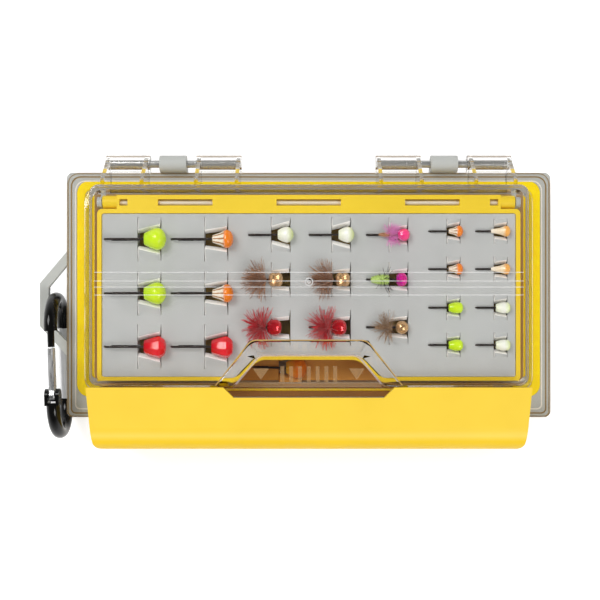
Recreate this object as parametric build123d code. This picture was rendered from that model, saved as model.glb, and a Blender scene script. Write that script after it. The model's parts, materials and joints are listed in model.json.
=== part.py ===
import math
import os

from build123d import *

# A slim waterproof jig box, lying on its back: +Z out of the clear lid, +X right, +Y to the hinges.
# The origin is the middle of the base's underside. All sizes are millimetres and degrees.

# Heights
PARTING_Z = 18.0
LID_GAP = 0.2
BASE_FLANGE = 2.5
LID_FLANGE = 2.3
LID_RISE = 17.5
LID_Z = PARTING_Z + LID_GAP
FLANGE_TOP_Z = LID_Z + LID_FLANGE
LID_TOP_Z = FLANGE_TOP_Z + LID_RISE

# Flange outline, stepped back in front where the latch closes over it
FLANGE_HALF_X = 95.75
FLANGE_Y = 48.4
FLANGE_CORNER_R = 2.5
LATCH_END_MARGIN = 10.85
LATCH_END_GAP = 1.1
LATCH_HALF_TOP = FLANGE_HALF_X - LATCH_END_MARGIN
FRONT_STEP_X = LATCH_HALF_TOP + LATCH_END_GAP
FRONT_STEP = 7.5
FRONT_STEP_Y = -FLANGE_Y + FRONT_STEP
STEP_CORNER_R = 0.8

# Gasket and its groove
GASKET_SIDE_MARGIN = 3.65
GASKET_BACK_MARGIN = 3.0
GASKET_FRONT_MARGIN = 0.4
GASKET_WIDTH = 3.3
GASKET_OUT_X = FLANGE_HALF_X - GASKET_SIDE_MARGIN
GASKET_OUT_BACK = FLANGE_Y - GASKET_BACK_MARGIN
GASKET_OUT_FRONT = FRONT_STEP_Y + GASKET_FRONT_MARGIN
GASKET_CORNER_R = 5.0
GROOVE_DEPTH = 1.0
GASKET_TOP_GAP = 0.05

# Raised window of the lid
LID_WALL = 1.8
DOME_DRAFT_X = 5.5
DOME_DRAFT_BACK = 0.2
DOME_DRAFT_FRONT = 2.8
DOME_FRONT_OVERLAP = 0.1
DOME_FOOT_X = GASKET_OUT_X - GASKET_WIDTH
DOME_FOOT_BACK = GASKET_OUT_BACK - GASKET_WIDTH
DOME_FOOT_FRONT = GASKET_OUT_FRONT + GASKET_WIDTH - DOME_FRONT_OVERLAP
DOME_TOP_X = DOME_FOOT_X - DOME_DRAFT_X
DOME_TOP_BACK = DOME_FOOT_BACK - DOME_DRAFT_BACK
DOME_TOP_FRONT = DOME_FOOT_FRONT + DOME_DRAFT_FRONT
DOME_FOOT_R = 5.0
DOME_TOP_R = 3.5
DOME_EDGE_R = 0.9
DOME_MOUTH_STEP = 2.0

# Stiffening band across the window, with a ridge and a round gate mark
BAND_BACK = 8.5
BAND_FRONT = -0.1
BAND_RISE = 0.35
BAND_END_GAP = 1.0
RIDGE_BACK = 5.2
RIDGE_FRONT = 2.9
RIDGE_RISE = 0.3
GATE_MARK_Y = 4.85
GATE_MARK_R = 1.6
GATE_MARK_RISE = 0.2

# Thumb recess in the lid's front
RECESS_TOP_LENGTH = 16.8
RECESS_FLOOR_LENGTH = 11.4
RECESS_DEPTH = 7.7
RECESS_TOP_BACK = DOME_TOP_FRONT + RECESS_TOP_LENGTH
RECESS_TOP_BACK_HALF = 21.6
RECESS_TOP_FRONT_HALF = 35.0
RECESS_FLOOR_Z = LID_TOP_Z - RECESS_DEPTH
RECESS_FLOOR_BACK = DOME_TOP_FRONT + RECESS_FLOOR_LENGTH
RECESS_FLOOR_BACK_HALF = 19.0
RECESS_FLOOR_FRONT_HALF = 28.5
RECESS_WALL = 1.6
RECESS_FRONT_OVER = 3.0
ARROW_HALF = 3.2
ARROW_LENGTH = 3.6
ARROW_RISE = 0.3
ARROW_X = 18.5
ARROW_FROM_FRONT = 3.9
ARROW_Y = DOME_TOP_FRONT + ARROW_FROM_FRONT
GRIP_BARS = 7
GRIP_PITCH = 3.4
GRIP_BAR_WIDTH = 1.2
GRIP_BAR_LENGTH = 6.0

# Base shell
BASE_WALL = 1.9
BASE_FLOOR = 2.0
BASE_SIDE_INSET = 0.4
BASE_BACK_INSET = 0.1
BASE_FRONT_PROUD = 0.9
BASE_HALF_X = DOME_FOOT_X - BASE_SIDE_INSET
BASE_BACK = DOME_FOOT_BACK - BASE_BACK_INSET
BASE_FRONT = DOME_FOOT_FRONT - BASE_FRONT_PROUD
BASE_CORNER_R = 5.0
BASE_EDGE_R = 1.5

# Hinges: one group on each side, lid knuckle, base knuckle, lid knuckle
HINGE_BEHIND = 3.5
HINGE_Y = FLANGE_Y + HINGE_BEHIND
HINGE_Z = FLANGE_TOP_Z
KNUCKLE_R = 3.3
HINGE_PIN_R = 1.6
RUN_CLEARANCE = 0.05
HINGE_MARGIN = 15.85
OUTER_KNUCKLE = 17.3
OUTER_GAP = 3.8
BASE_KNUCKLE = 10.6
INNER_GAP = 4.0
INNER_KNUCKLE = 17.8
HINGE_END = FLANGE_HALF_X - HINGE_MARGIN
HINGE_OUTER = (HINGE_END - OUTER_KNUCKLE, HINGE_END)
HINGE_MIDDLE = (HINGE_OUTER[0] - OUTER_GAP - BASE_KNUCKLE, HINGE_OUTER[0] - OUTER_GAP)
HINGE_INNER = (HINGE_MIDDLE[0] - INNER_GAP - INNER_KNUCKLE, HINGE_MIDDLE[0] - INNER_GAP)
PIN_INSET = 0.6
GUSSET = 1.5
GUSSET_DROP = 1.8
GUSSET_TOP_Z = LID_TOP_Z - GUSSET_DROP
GUSSET_INSET = 0.4
WEB_OVERLAP = 1.0
ARM_DROP = 2.0
ARM_UNDER = 1.0
ARM_EDGE = 0.1

# Lanyard loop on the base's left edge
LOOP_REACH = 11.3
LOOP_BACK = 18.0
LOOP_BACK_CORNER = 4.7
LOOP_FRONT_CORNER = -12.4
LOOP_FRONT = -24.8
LOOP_BAND = 3.5
LOOP_THICK = 3.0
LOOP_ROOT = 1.0
LOOP_CORNER_TURN = 0.45
LOOP_NOTCH_Y = -4.9
LOOP_NOTCH_HALF = 2.4
LOOP_NOTCH_DEPTH = 1.1

# Full-width latch cover, pivoting on the base's front lugs
LATCH_TAPER = 2.5
LATCH_HALF_BOTTOM = LATCH_HALF_TOP - LATCH_TAPER
LATCH_WALL = 2.2
LATCH_BELOW_TOP = 0.6
LATCH_LIP_GAP = 0.8
LATCH_FLAT_PROUD = 2.2
LATCH_BEND = 9.2
LATCH_PIVOT_PROUD = 4.6
LATCH_PIVOT_RISE = 5.0
LATCH_BOTTOM_Z = 3.0
LATCH_Y = -FLANGE_Y - LATCH_PIVOT_PROUD
LATCH_Z = LATCH_BOTTOM_Z + LATCH_PIVOT_RISE
LATCH_TOP_Z = LID_TOP_Z - LATCH_BELOW_TOP
LATCH_BACK = DOME_TOP_FRONT - LATCH_LIP_GAP
LATCH_FLAT_FRONT = -FLANGE_Y - LATCH_FLAT_PROUD
LATCH_FRONT = LATCH_FLAT_FRONT - LATCH_BEND
LATCH_CORNER_R = 3.5
LATCH_SIDE_GAP = 0.6
LATCH_SIDE_DROP = 6.9
LATCH_SIDE_BACK = FRONT_STEP_Y - LATCH_SIDE_GAP
LATCH_SIDE_TURN_Z = LATCH_TOP_Z - LATCH_SIDE_DROP
LATCH_LIP_EDGE = 0.4
LATCH_LIP_UNDER = 0.3
NOTCH_HALF_TOP = 32.6
NOTCH_HALF_BOTTOM = 28.6
NOTCH_DEPTH = 3.9
LATCH_KNUCKLE_R = 3.2
LATCH_PIN_R = 1.5
LATCH_LUG_INSET = 3.0
LATCH_LUG_OUTER = LATCH_HALF_BOTTOM - LATCH_LUG_INSET
LATCH_LUG_WIDTH = 3.2
LATCH_LUG_GAP = 0.35
LATCH_KNUCKLE_LENGTH = 12.0
LATCH_LUG_INNER = (LATCH_LUG_OUTER - 2 * LATCH_LUG_WIDTH - 2 * LATCH_LUG_GAP
                   - LATCH_KNUCKLE_LENGTH)
LATCH_LUG_R = 3.3
LATCH_LUG_ROOT = 2.0

# Catch ridge that the latch's lip snaps over
RIDGE_CATCH_DEPTH = 1.8
RIDGE_CATCH_SLOPE = 2.6
RIDGE_CATCH_GAP = 0.8
RIDGE_CATCH_TOP = LATCH_TOP_Z - LATCH_WALL - RIDGE_CATCH_GAP
RIDGE_CATCH_UNDER = 1.4
RIDGE_CATCH_ROOT = 0.5
CATCH_INNER_X = 38.0
CATCH_END_MARGIN = 5.3
CATCH_OUTER_X = DOME_TOP_X - CATCH_END_MARGIN

# Hinged inner leaf: a tray with a bar, windows and two end pivots
LEAF_SIDE_GAP = 4.8
LEAF_BACK_GAP = 6.9
LEAF_FRONT_GAP = 0.9
LEAF_HEADROOM = 10.1
LEAF_LIFT = 1.0
LEAF_HALF_X = DOME_FOOT_X - LID_WALL - LEAF_SIDE_GAP
LEAF_BACK = DOME_FOOT_BACK - LID_WALL - LEAF_BACK_GAP
LEAF_FRONT = DOME_TOP_FRONT + LEAF_FRONT_GAP
LEAF_TOP_Z = LID_TOP_Z - LEAF_HEADROOM
LEAF_BOTTOM_Z = PARTING_Z + LEAF_LIFT
LEAF_RIM = 1.7
LEAF_PLATE = 1.4
LEAF_CORNER_R = 2.0
LEAF_BAR_R = 2.6
LEAF_BAR_HEIGHT = 4.2
LEAF_BAR_INSET = 2.0
LEAF_SWELL = 5.6
LEAF_PIVOT_BEHIND = 2.8
LEAF_PIVOT_Y = LEAF_BACK + LEAF_PIVOT_BEHIND
LEAF_PIVOT_Z = LEAF_TOP_Z - LEAF_BAR_R
LEAF_BAR_HALF = LEAF_HALF_X - LEAF_BAR_INSET
LEAF_SWELL_INNER = LEAF_BAR_HALF - LEAF_SWELL
WINDOW_BEHIND = 1.0
WINDOW_AHEAD = 1.5
WINDOW_BACK = LEAF_PIVOT_Y + WINDOW_BEHIND
WINDOW_FRONT = LEAF_PIVOT_Y - WINDOW_AHEAD
END_WINDOW = 3.2
END_WINDOW_GAP = 1.0
END_WINDOW_OUTER = LEAF_SWELL_INNER - END_WINDOW_GAP
LEAF_WINDOWS = ((-12.5, 12.5), (37.4, 58.6), (END_WINDOW_OUTER - END_WINDOW, END_WINDOW_OUTER))
CUT_LENGTH = 10.1
CUT_BACK = LEAF_FRONT + CUT_LENGTH
CUT_BACK_HALF = 21.0
CUT_FRONT_HALF = 30.0
PIVOT_PIN_R = 1.2
PIVOT_PIN_IN_LEAF = 4.2
PIVOT_PIN_SHORT = 0.1
POST_GAP = 0.4
POST_X = LEAF_BAR_HALF + POST_GAP
PIVOT_PIN_START = LEAF_BAR_HALF - PIVOT_PIN_IN_LEAF
POST_THICK = 1.9
POST_R = 2.05
POST_ROOT = 11.0
POST_SHOULDER = 0.6
POST_FRONT_ROOT = 3.0

# Foam pads
FOAM_GAP = 0.3
LEAF_FOAM_SINK = 0.5
LEAF_FOAM_CORNER_R = 1.0
BASE_FOAM_THICK = 5.5
BASE_FOAM_TOP = BASE_FLOOR + BASE_FOAM_THICK
BASE_FOAM_SIDE_GAP = 2.0
BASE_FOAM_BACK_GAP = 8.6
BASE_FOAM_FRONT_GAP = 1.8
BASE_FOAM_CORNER_R = 3.0
BASE_FOAM_HALF_X = BASE_HALF_X - BASE_WALL - BASE_FOAM_SIDE_GAP
BASE_FOAM_BACK = BASE_BACK - BASE_WALL - BASE_FOAM_BACK_GAP
BASE_FOAM_FRONT = BASE_FRONT + BASE_WALL + BASE_FOAM_FRONT_GAP

# Jigs: head radius, half length of the head, shank length, wire radius, hook gap
LARGE = {"head_r": 4.3, "head_half": 4.4, "shank": 13.0, "wire": 0.45, "gap": 5.0}
MEDIUM = {"head_r": 3.1, "head_half": 3.2, "shank": 11.0, "wire": 0.38, "gap": 4.2}
SMALL = {"head_r": 2.2, "head_half": 2.9, "shank": 7.4, "wire": 0.32, "gap": 3.4}
# Columns from the leaf's left side and rows from its back
LARGE_X = [-LEAF_HALF_X + d for d in (22.7, 48.7)]
LARGE_Y = [LEAF_BACK - d for d in (11.8, 32.8, 53.5)]
MEDIUM_X = [-LEAF_HALF_X + d for d in (73.1, 96.6, 118.9)]
MEDIUM_Y = [LEAF_BACK - d for d in (10.1, 27.5, 46.0)]
SMALL_X = [-LEAF_HALF_X + d for d in (139.1, 157.4)]
SMALL_Y = [LEAF_BACK - d for d in (8.7, 23.4, 38.4, 52.9)]
LEAF_JIGS = ((LARGE, LARGE_X, LARGE_Y), (MEDIUM, MEDIUM_X, MEDIUM_Y), (SMALL, SMALL_X, SMALL_Y))
# Columns from the base pad's left side and rows from its back
BASE_JIG_X = [-BASE_FOAM_HALF_X + d for d in (24.5, 79.5, 134.5)]
BASE_JIG_Y = [BASE_FOAM_BACK - d for d in (13.5, 37.5, 61.0)]
HEAD_LIFT = 0.55
COLLAR_SHARE = 0.9
COLLAR_R_SHARE = 0.55
COLLAR_SLOPE = 0.9
POINT_SHARE = 0.45
POCKET_GAP = 0.3
POCKET_HEIGHT = 3
HACKLE_FLOOR_GAP = 0.1
HACKLE_WIRE_GAP = 0.15
HACKLE_COLLAR_SHARE = 0.7
HACKLE_R = 4.4
HACKLE_LENGTH = 6.5
INSECT_WIRE_GAP = 0.1
INSECT_TAIL_SHARE = 0.5
INSECT_BODY_R = 1.9
INSECT_BODY_LENGTH = 6.0

# Carabiner, standing on edge through the loop
RING_LENGTH = 58.0
RING_WIDTH = 28.0
RING_WIRE_R = 2.6
RING_TOP_Y = 1.1
RING_OUT = 3.65
RING_X = -FLANGE_HALF_X - RING_OUT
RING_RISE = 0.5
RING_Z = PARTING_Z + RING_RISE
RING_LEAN = 2.0
RING_SIDE = RING_WIDTH / 2 - RING_WIRE_R
RING_STRAIGHT = (RING_LENGTH - RING_WIDTH) / 2
NOSE_BACK = 1.0
NOSE_LENGTH = 6.3
NOSE_START = RING_STRAIGHT - NOSE_BACK
NOSE_END = NOSE_START - NOSE_LENGTH
NOSE_R = 1.35
JOINT_FROM_BEND = 4.0
JOINT_LENGTH = 2.8
JOINT_ROOT = 1.0
GATE_PIVOT = JOINT_FROM_BEND - RING_STRAIGHT
GATE_JOINT_END = GATE_PIVOT - JOINT_LENGTH
GATE_WIDE = 2.4
GATE_TALL = 3.4
GATE_GAP = 0.3
GATE_EYE_R = 2.4
RIVET_R = 0.8
FORK_THICK = 1.3
SPRING_R = 0.65
SPRING_WIRE_R = 0.15
SPRING_LENGTH = 5.0
SPRING_TURNS = 6
SPRING_BORE_R = 0.9
SPRING_FROM_EYE = 1.0

# How far a cutting block reaches past what it cuts
OVER = 1.0


def prism(points, low, high):
    """A straight block with the outline given in plan."""
    face = make_face(Polyline(*points, close=True))
    return Pos(0, 0, low) * extrude(face, high - low)


def slab_x(points, low, high):
    """A straight block with the outline given as (y, z), running along X."""
    plane = Plane(origin=(low, 0, 0), x_dir=(0, 1, 0), z_dir=(1, 0, 0))
    face = make_face(Polyline(*points, close=True))
    return extrude(plane * face, high - low)


def bar_x(radius, y, z, low, high):
    """A round bar along X."""
    plane = Plane(origin=(low, y, z), x_dir=(0, 1, 0), z_dir=(1, 0, 0))
    return extrude(plane * Circle(radius), high - low)


def block(x, y, z):
    """A block from its three (low, high) pairs."""
    middle = Pos((x[0] + x[1]) / 2, (y[0] + y[1]) / 2, (z[0] + z[1]) / 2)
    return middle * Box(x[1] - x[0], y[1] - y[0], z[1] - z[0])


def round_rectangle(half_x, front, back, radius):
    """A rounded rectangle in plan, centred on X only."""
    return Pos(0, (front + back) / 2) * RectangleRounded(2 * half_x, back - front, radius)


def mirrored(span):
    """A span and its mirror image across X = 0, or one that already crosses it."""
    if span[0] < 0:
        return [span]
    return [span, (-span[1], -span[0])]


def at_both_ends(shape):
    """A shape with its mirror image on the other side."""
    return [shape, mirror(shape, Plane.YZ)]


def single(shape):
    """The one solid of a finished piece."""
    solids = shape.solids()
    if len(solids) != 1:
        raise ValueError(f"expected one solid, not {len(solids)}")
    return solids[0]


def flange_outline():
    """The shared outline of both flanges, stepped back where the latch closes over the front."""
    points = [
        (-FLANGE_HALF_X, FLANGE_Y), (FLANGE_HALF_X, FLANGE_Y),
        (FLANGE_HALF_X, -FLANGE_Y), (FRONT_STEP_X, -FLANGE_Y),
        (FRONT_STEP_X, FRONT_STEP_Y), (-FRONT_STEP_X, FRONT_STEP_Y),
        (-FRONT_STEP_X, -FLANGE_Y), (-FLANGE_HALF_X, -FLANGE_Y),
    ]
    face = make_face(Polyline(*points, close=True))
    outer = [v for v in face.vertices() if abs(v.X) > FRONT_STEP_X + STEP_CORNER_R]
    face = fillet(outer, FLANGE_CORNER_R)
    inner = [v for v in face.vertices() if abs(abs(v.X) - FRONT_STEP_X) < STEP_CORNER_R / 2]
    return fillet(inner, STEP_CORNER_R)


def gasket_ring(low, high):
    """The flat ring that fills the groove between the two flanges."""
    outer = round_rectangle(GASKET_OUT_X, GASKET_OUT_FRONT, GASKET_OUT_BACK, GASKET_CORNER_R)
    inner = round_rectangle(GASKET_OUT_X - GASKET_WIDTH, GASKET_OUT_FRONT + GASKET_WIDTH,
                            GASKET_OUT_BACK - GASKET_WIDTH, GASKET_CORNER_R - GASKET_WIDTH / 2)
    return Pos(0, 0, low) * extrude(outer - inner, high - low)


def trapezoid(back, back_half, front, front_half):
    """The four corners of a trapezoid that widens to the front."""
    return [(-back_half, back), (back_half, back), (front_half, front), (-front_half, front)]


def frustum(lower, low, upper, high):
    """A ruled block between two outlines of as many corners."""
    bottom = Pos(0, 0, low) * make_face(Polyline(*lower, close=True))
    top = Pos(0, 0, high) * make_face(Polyline(*upper, close=True))
    return loft([bottom, top], ruled=True)


def recess_block(wall, floor_z, front):
    """The thumb recess as a block, grown by a wall on its back, its sides and under its floor."""
    rise = LID_TOP_Z - RECESS_FLOOR_Z
    back_slope = (RECESS_TOP_BACK - RECESS_FLOOR_BACK) / rise
    side_slope = (RECESS_TOP_BACK_HALF - RECESS_FLOOR_BACK_HALF) / rise
    front_slope = (RECESS_TOP_FRONT_HALF - RECESS_FLOOR_FRONT_HALF) / rise
    spread = (RECESS_FLOOR_FRONT_HALF - RECESS_FLOOR_BACK_HALF) / (RECESS_FLOOR_BACK - DOME_TOP_FRONT)
    extra = DOME_TOP_FRONT - front
    low = RECESS_FLOOR_Z - floor_z
    lower = trapezoid(RECESS_FLOOR_BACK - low * back_slope + wall,
                      RECESS_FLOOR_BACK_HALF - low * side_slope + wall, front,
                      RECESS_FLOOR_FRONT_HALF - low * front_slope + spread * extra + wall)
    upper = trapezoid(RECESS_TOP_BACK + OVER * back_slope + wall,
                      RECESS_TOP_BACK_HALF + OVER * side_slope + wall, front,
                      RECESS_TOP_FRONT_HALF + OVER * front_slope + spread * extra + wall)
    return frustum(lower, floor_z, upper, LID_TOP_Z + OVER)


def dome(inset, low, high):
    """The tapered block of the lid's raised window, or of its inside."""
    foot = round_rectangle(DOME_FOOT_X - inset, DOME_FOOT_FRONT + inset, DOME_FOOT_BACK - inset,
                           DOME_FOOT_R - inset / 2)
    top = round_rectangle(DOME_TOP_X - inset, DOME_TOP_FRONT + inset, DOME_TOP_BACK - inset,
                          DOME_TOP_R - inset / 2)
    return loft([Pos(0, 0, low) * foot, Pos(0, 0, high) * top])


def dome_front(z):
    """Where the lid's sloping front wall stands at a height."""
    share = (z - FLANGE_TOP_Z) / LID_RISE
    return DOME_FOOT_FRONT + (DOME_TOP_FRONT - DOME_FOOT_FRONT) * share


def lid_knuckle(span):
    """A clear knuckle with its web to the flange and a gusset at each end."""
    low, high = span
    knuckle = bar_x(KNUCKLE_R, HINGE_Y, HINGE_Z, low, high)
    web = block((low, high), (FLANGE_Y - WEB_OVERLAP, HINGE_Y), (LID_Z, FLANGE_TOP_Z))
    profile = [
        (DOME_FOOT_BACK - LID_WALL / 2, FLANGE_TOP_Z - LID_FLANGE / 2),
        (DOME_FOOT_BACK - LID_WALL / 2, GUSSET_TOP_Z),
        (DOME_FOOT_BACK + LID_WALL, GUSSET_TOP_Z),
        (HINGE_Y + KNUCKLE_R * 0.8, HINGE_Z + KNUCKLE_R * 0.6),
        (HINGE_Y, HINGE_Z),
        (FLANGE_Y - WEB_OVERLAP, FLANGE_TOP_Z - LID_FLANGE / 2),
    ]
    shape = knuckle + web
    for start in (low + GUSSET_INSET, high - GUSSET_INSET - GUSSET):
        shape += slab_x(profile, start, start + GUSSET)
    return shape


def catch_ridge():
    """The ridge on the lid's front wall that the latch's lip snaps over."""
    drop = RIDGE_CATCH_DEPTH * RIDGE_CATCH_SLOPE
    tip_z = RIDGE_CATCH_TOP - drop
    end_z = tip_z - RIDGE_CATCH_UNDER
    profile = [
        (dome_front(RIDGE_CATCH_TOP) + RIDGE_CATCH_ROOT, RIDGE_CATCH_TOP),
        (dome_front(RIDGE_CATCH_TOP), RIDGE_CATCH_TOP),
        (dome_front(tip_z) - RIDGE_CATCH_DEPTH, tip_z),
        (dome_front(end_z), end_z),
        (dome_front(end_z) + RIDGE_CATCH_ROOT, end_z),
    ]
    return slab_x(profile, CATCH_INNER_X, CATCH_OUTER_X)


def clear_lid():
    """Clear lid: flange, raised window, stiffening band, thumb recess, knuckles and catches."""
    shell = Pos(0, 0, LID_Z) * extrude(flange_outline(), LID_FLANGE)
    raised = dome(0, FLANGE_TOP_Z, LID_TOP_Z)
    top_edges = raised.edges().filter_by(lambda e: e.center().Z > LID_TOP_Z - 0.01)
    shell += fillet(top_edges, DOME_EDGE_R)
    band_half = DOME_TOP_X - BAND_END_GAP
    shell += block((-band_half, band_half), (BAND_FRONT, BAND_BACK),
                   (LID_TOP_Z - LID_WALL / 2, LID_TOP_Z + BAND_RISE))
    shell += block((-band_half, band_half), (RIDGE_FRONT, RIDGE_BACK),
                   (LID_TOP_Z - LID_WALL / 2, LID_TOP_Z + BAND_RISE + RIDGE_RISE))
    mark_top = BAND_RISE + RIDGE_RISE + GATE_MARK_RISE
    shell += Pos(0, GATE_MARK_Y, LID_TOP_Z) * extrude(Circle(GATE_MARK_R), mark_top)
    for span in (HINGE_OUTER, HINGE_INNER):
        for knuckle in at_both_ends(lid_knuckle(span)):
            shell += knuckle
    for ridge in at_both_ends(catch_ridge()):
        shell += ridge
    hollow = dome(LID_WALL, LID_Z - OVER, LID_TOP_Z - LID_WALL)
    inset = LID_WALL + DOME_MOUTH_STEP
    hollow += block((-DOME_FOOT_X + inset, DOME_FOOT_X - inset),
                    (DOME_FOOT_FRONT + inset, DOME_FOOT_BACK - inset), (LID_Z - 2 * OVER, LID_Z + OVER))
    tray = recess_block(RECESS_WALL, RECESS_FLOOR_Z - RECESS_WALL, dome_front(RECESS_FLOOR_Z))
    hollow -= tray
    shell -= hollow
    shell -= recess_block(0, RECESS_FLOOR_Z, DOME_FOOT_FRONT - RECESS_FRONT_OVER)
    for x in (-ARROW_X, ARROW_X):
        arrow = [(x - ARROW_HALF, ARROW_Y + ARROW_LENGTH / 2),
                 (x + ARROW_HALF, ARROW_Y + ARROW_LENGTH / 2), (x, ARROW_Y - ARROW_LENGTH / 2)]
        shell += prism(arrow, RECESS_FLOOR_Z - RECESS_WALL / 2, RECESS_FLOOR_Z + ARROW_RISE)
    for i in range(GRIP_BARS):
        x = (i - (GRIP_BARS - 1) / 2) * GRIP_PITCH
        bar = block((x - GRIP_BAR_WIDTH / 2, x + GRIP_BAR_WIDTH / 2),
                    (ARROW_Y - GRIP_BAR_LENGTH / 2, ARROW_Y + GRIP_BAR_LENGTH / 2),
                    (RECESS_FLOOR_Z - RECESS_WALL / 2, RECESS_FLOOR_Z + ARROW_RISE))
        shell += bar
    for span in (HINGE_OUTER, HINGE_INNER):
        for side in mirrored(span):
            shell -= bar_x(HINGE_PIN_R + RUN_CLEARANCE, HINGE_Y, HINGE_Z, side[0] - OVER, side[1] + OVER)
    return single(shell)


def lanyard_loop():
    """The open loop on the left edge, with a small notch inside for a cord."""
    edge = -FLANGE_HALF_X
    reach = edge - LOOP_REACH
    outer = [(edge + LOOP_ROOT, LOOP_BACK), (edge, LOOP_BACK), (reach, LOOP_BACK_CORNER),
             (reach, LOOP_FRONT_CORNER), (edge, LOOP_FRONT), (edge + LOOP_ROOT, LOOP_FRONT)]
    lean = math.hypot(LOOP_REACH, LOOP_BACK - LOOP_BACK_CORNER) / LOOP_REACH * LOOP_BAND
    turn = LOOP_BAND * LOOP_CORNER_TURN
    inner = [(edge, LOOP_BACK - lean), (reach + LOOP_BAND, LOOP_BACK_CORNER - turn),
             (reach + LOOP_BAND, LOOP_NOTCH_Y + LOOP_NOTCH_HALF),
             (reach + LOOP_BAND - LOOP_NOTCH_DEPTH, LOOP_NOTCH_Y),
             (reach + LOOP_BAND, LOOP_NOTCH_Y - LOOP_NOTCH_HALF),
             (reach + LOOP_BAND, LOOP_FRONT_CORNER + turn), (edge, LOOP_FRONT + lean)]
    low = PARTING_Z - LOOP_THICK
    return prism(outer, low, PARTING_Z) - prism(inner, low - OVER, PARTING_Z + OVER)


def leaf_post():
    """The right-hand post that carries one end of the leaf."""
    wall = BASE_BACK - BASE_WALL / 2
    profile = [
        (wall, PARTING_Z - POST_ROOT), (wall, PARTING_Z),
        (LEAF_PIVOT_Y + POST_R, PARTING_Z + POST_SHOULDER),
        (LEAF_PIVOT_Y + POST_R, LEAF_PIVOT_Z), (LEAF_PIVOT_Y - POST_R, LEAF_PIVOT_Z),
        (LEAF_PIVOT_Y - POST_R, PARTING_Z - POST_FRONT_ROOT),
    ]
    post = slab_x(profile, POST_X, POST_X + POST_THICK)
    post += bar_x(POST_R, LEAF_PIVOT_Y, LEAF_PIVOT_Z, POST_X, POST_X + POST_THICK)
    bore = PIVOT_PIN_R + RUN_CLEARANCE
    return post - bar_x(bore, LEAF_PIVOT_Y, LEAF_PIVOT_Z, POST_X - OVER, POST_X + POST_THICK + OVER)


def latch_lug(start):
    """One lug on the base's front that holds a latch pin."""
    wall = BASE_FRONT + BASE_WALL / 2
    profile = [
        (wall, LATCH_Z - LATCH_LUG_R), (wall, LATCH_Z + LATCH_LUG_R + LATCH_LUG_ROOT),
        (LATCH_Y, LATCH_Z + LATCH_LUG_R), (LATCH_Y, LATCH_Z - LATCH_LUG_R),
    ]
    lug = slab_x(profile, start, start + LATCH_LUG_WIDTH)
    lug += bar_x(LATCH_LUG_R, LATCH_Y, LATCH_Z, start, start + LATCH_LUG_WIDTH)
    return lug


def base_knuckle():
    """The grey knuckle between two lid knuckles, on its own arm."""
    low, high = HINGE_MIDDLE
    arm = [
        (BASE_BACK - BASE_WALL / 2, PARTING_Z - BASE_FLANGE - ARM_DROP),
        (BASE_BACK - BASE_WALL / 2, PARTING_Z), (FLANGE_Y, PARTING_Z),
        (HINGE_Y - KNUCKLE_R + ARM_EDGE, HINGE_Z), (HINGE_Y, HINGE_Z),
        (HINGE_Y + ARM_UNDER, HINGE_Z - KNUCKLE_R + 3 * ARM_EDGE),
        (FLANGE_Y, PARTING_Z - BASE_FLANGE - ARM_UNDER),
    ]
    return bar_x(KNUCKLE_R, HINGE_Y, HINGE_Z, low, high) + slab_x(arm, low, high)


def base_shell():
    """Grey base: tub, flange with the gasket's groove, knuckles, loop, leaf posts and latch lugs."""
    tub = round_rectangle(BASE_HALF_X, BASE_FRONT, BASE_BACK, BASE_CORNER_R)
    shell = extrude(tub, PARTING_Z)
    bottom = shell.edges().filter_by(lambda e: e.center().Z < 0.01)
    shell = fillet(bottom, BASE_EDGE_R)
    shell += Pos(0, 0, PARTING_Z - BASE_FLANGE) * extrude(flange_outline(), BASE_FLANGE)
    for knuckle in at_both_ends(base_knuckle()):
        shell += knuckle
    shell += lanyard_loop()
    for start in (LATCH_LUG_OUTER - LATCH_LUG_WIDTH, LATCH_LUG_INNER):
        for lug in at_both_ends(latch_lug(start)):
            shell += lug
    hollow = round_rectangle(BASE_HALF_X - BASE_WALL, BASE_FRONT + BASE_WALL, BASE_BACK - BASE_WALL,
                             BASE_CORNER_R - BASE_WALL)
    shell -= Pos(0, 0, BASE_FLOOR) * extrude(hollow, PARTING_Z)
    shell -= gasket_ring(PARTING_Z - GROOVE_DEPTH, PARTING_Z + OVER)
    for post in at_both_ends(leaf_post()):
        shell += post
    for side in mirrored(HINGE_MIDDLE):
        shell -= bar_x(HINGE_PIN_R, HINGE_Y, HINGE_Z, side[0] - OVER, side[1] + OVER)
    for side in mirrored((LATCH_LUG_INNER, LATCH_LUG_OUTER)):
        shell -= bar_x(LATCH_PIN_R, LATCH_Y, LATCH_Z, side[0] - OVER, side[1] + OVER)
    return single(shell)


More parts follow.
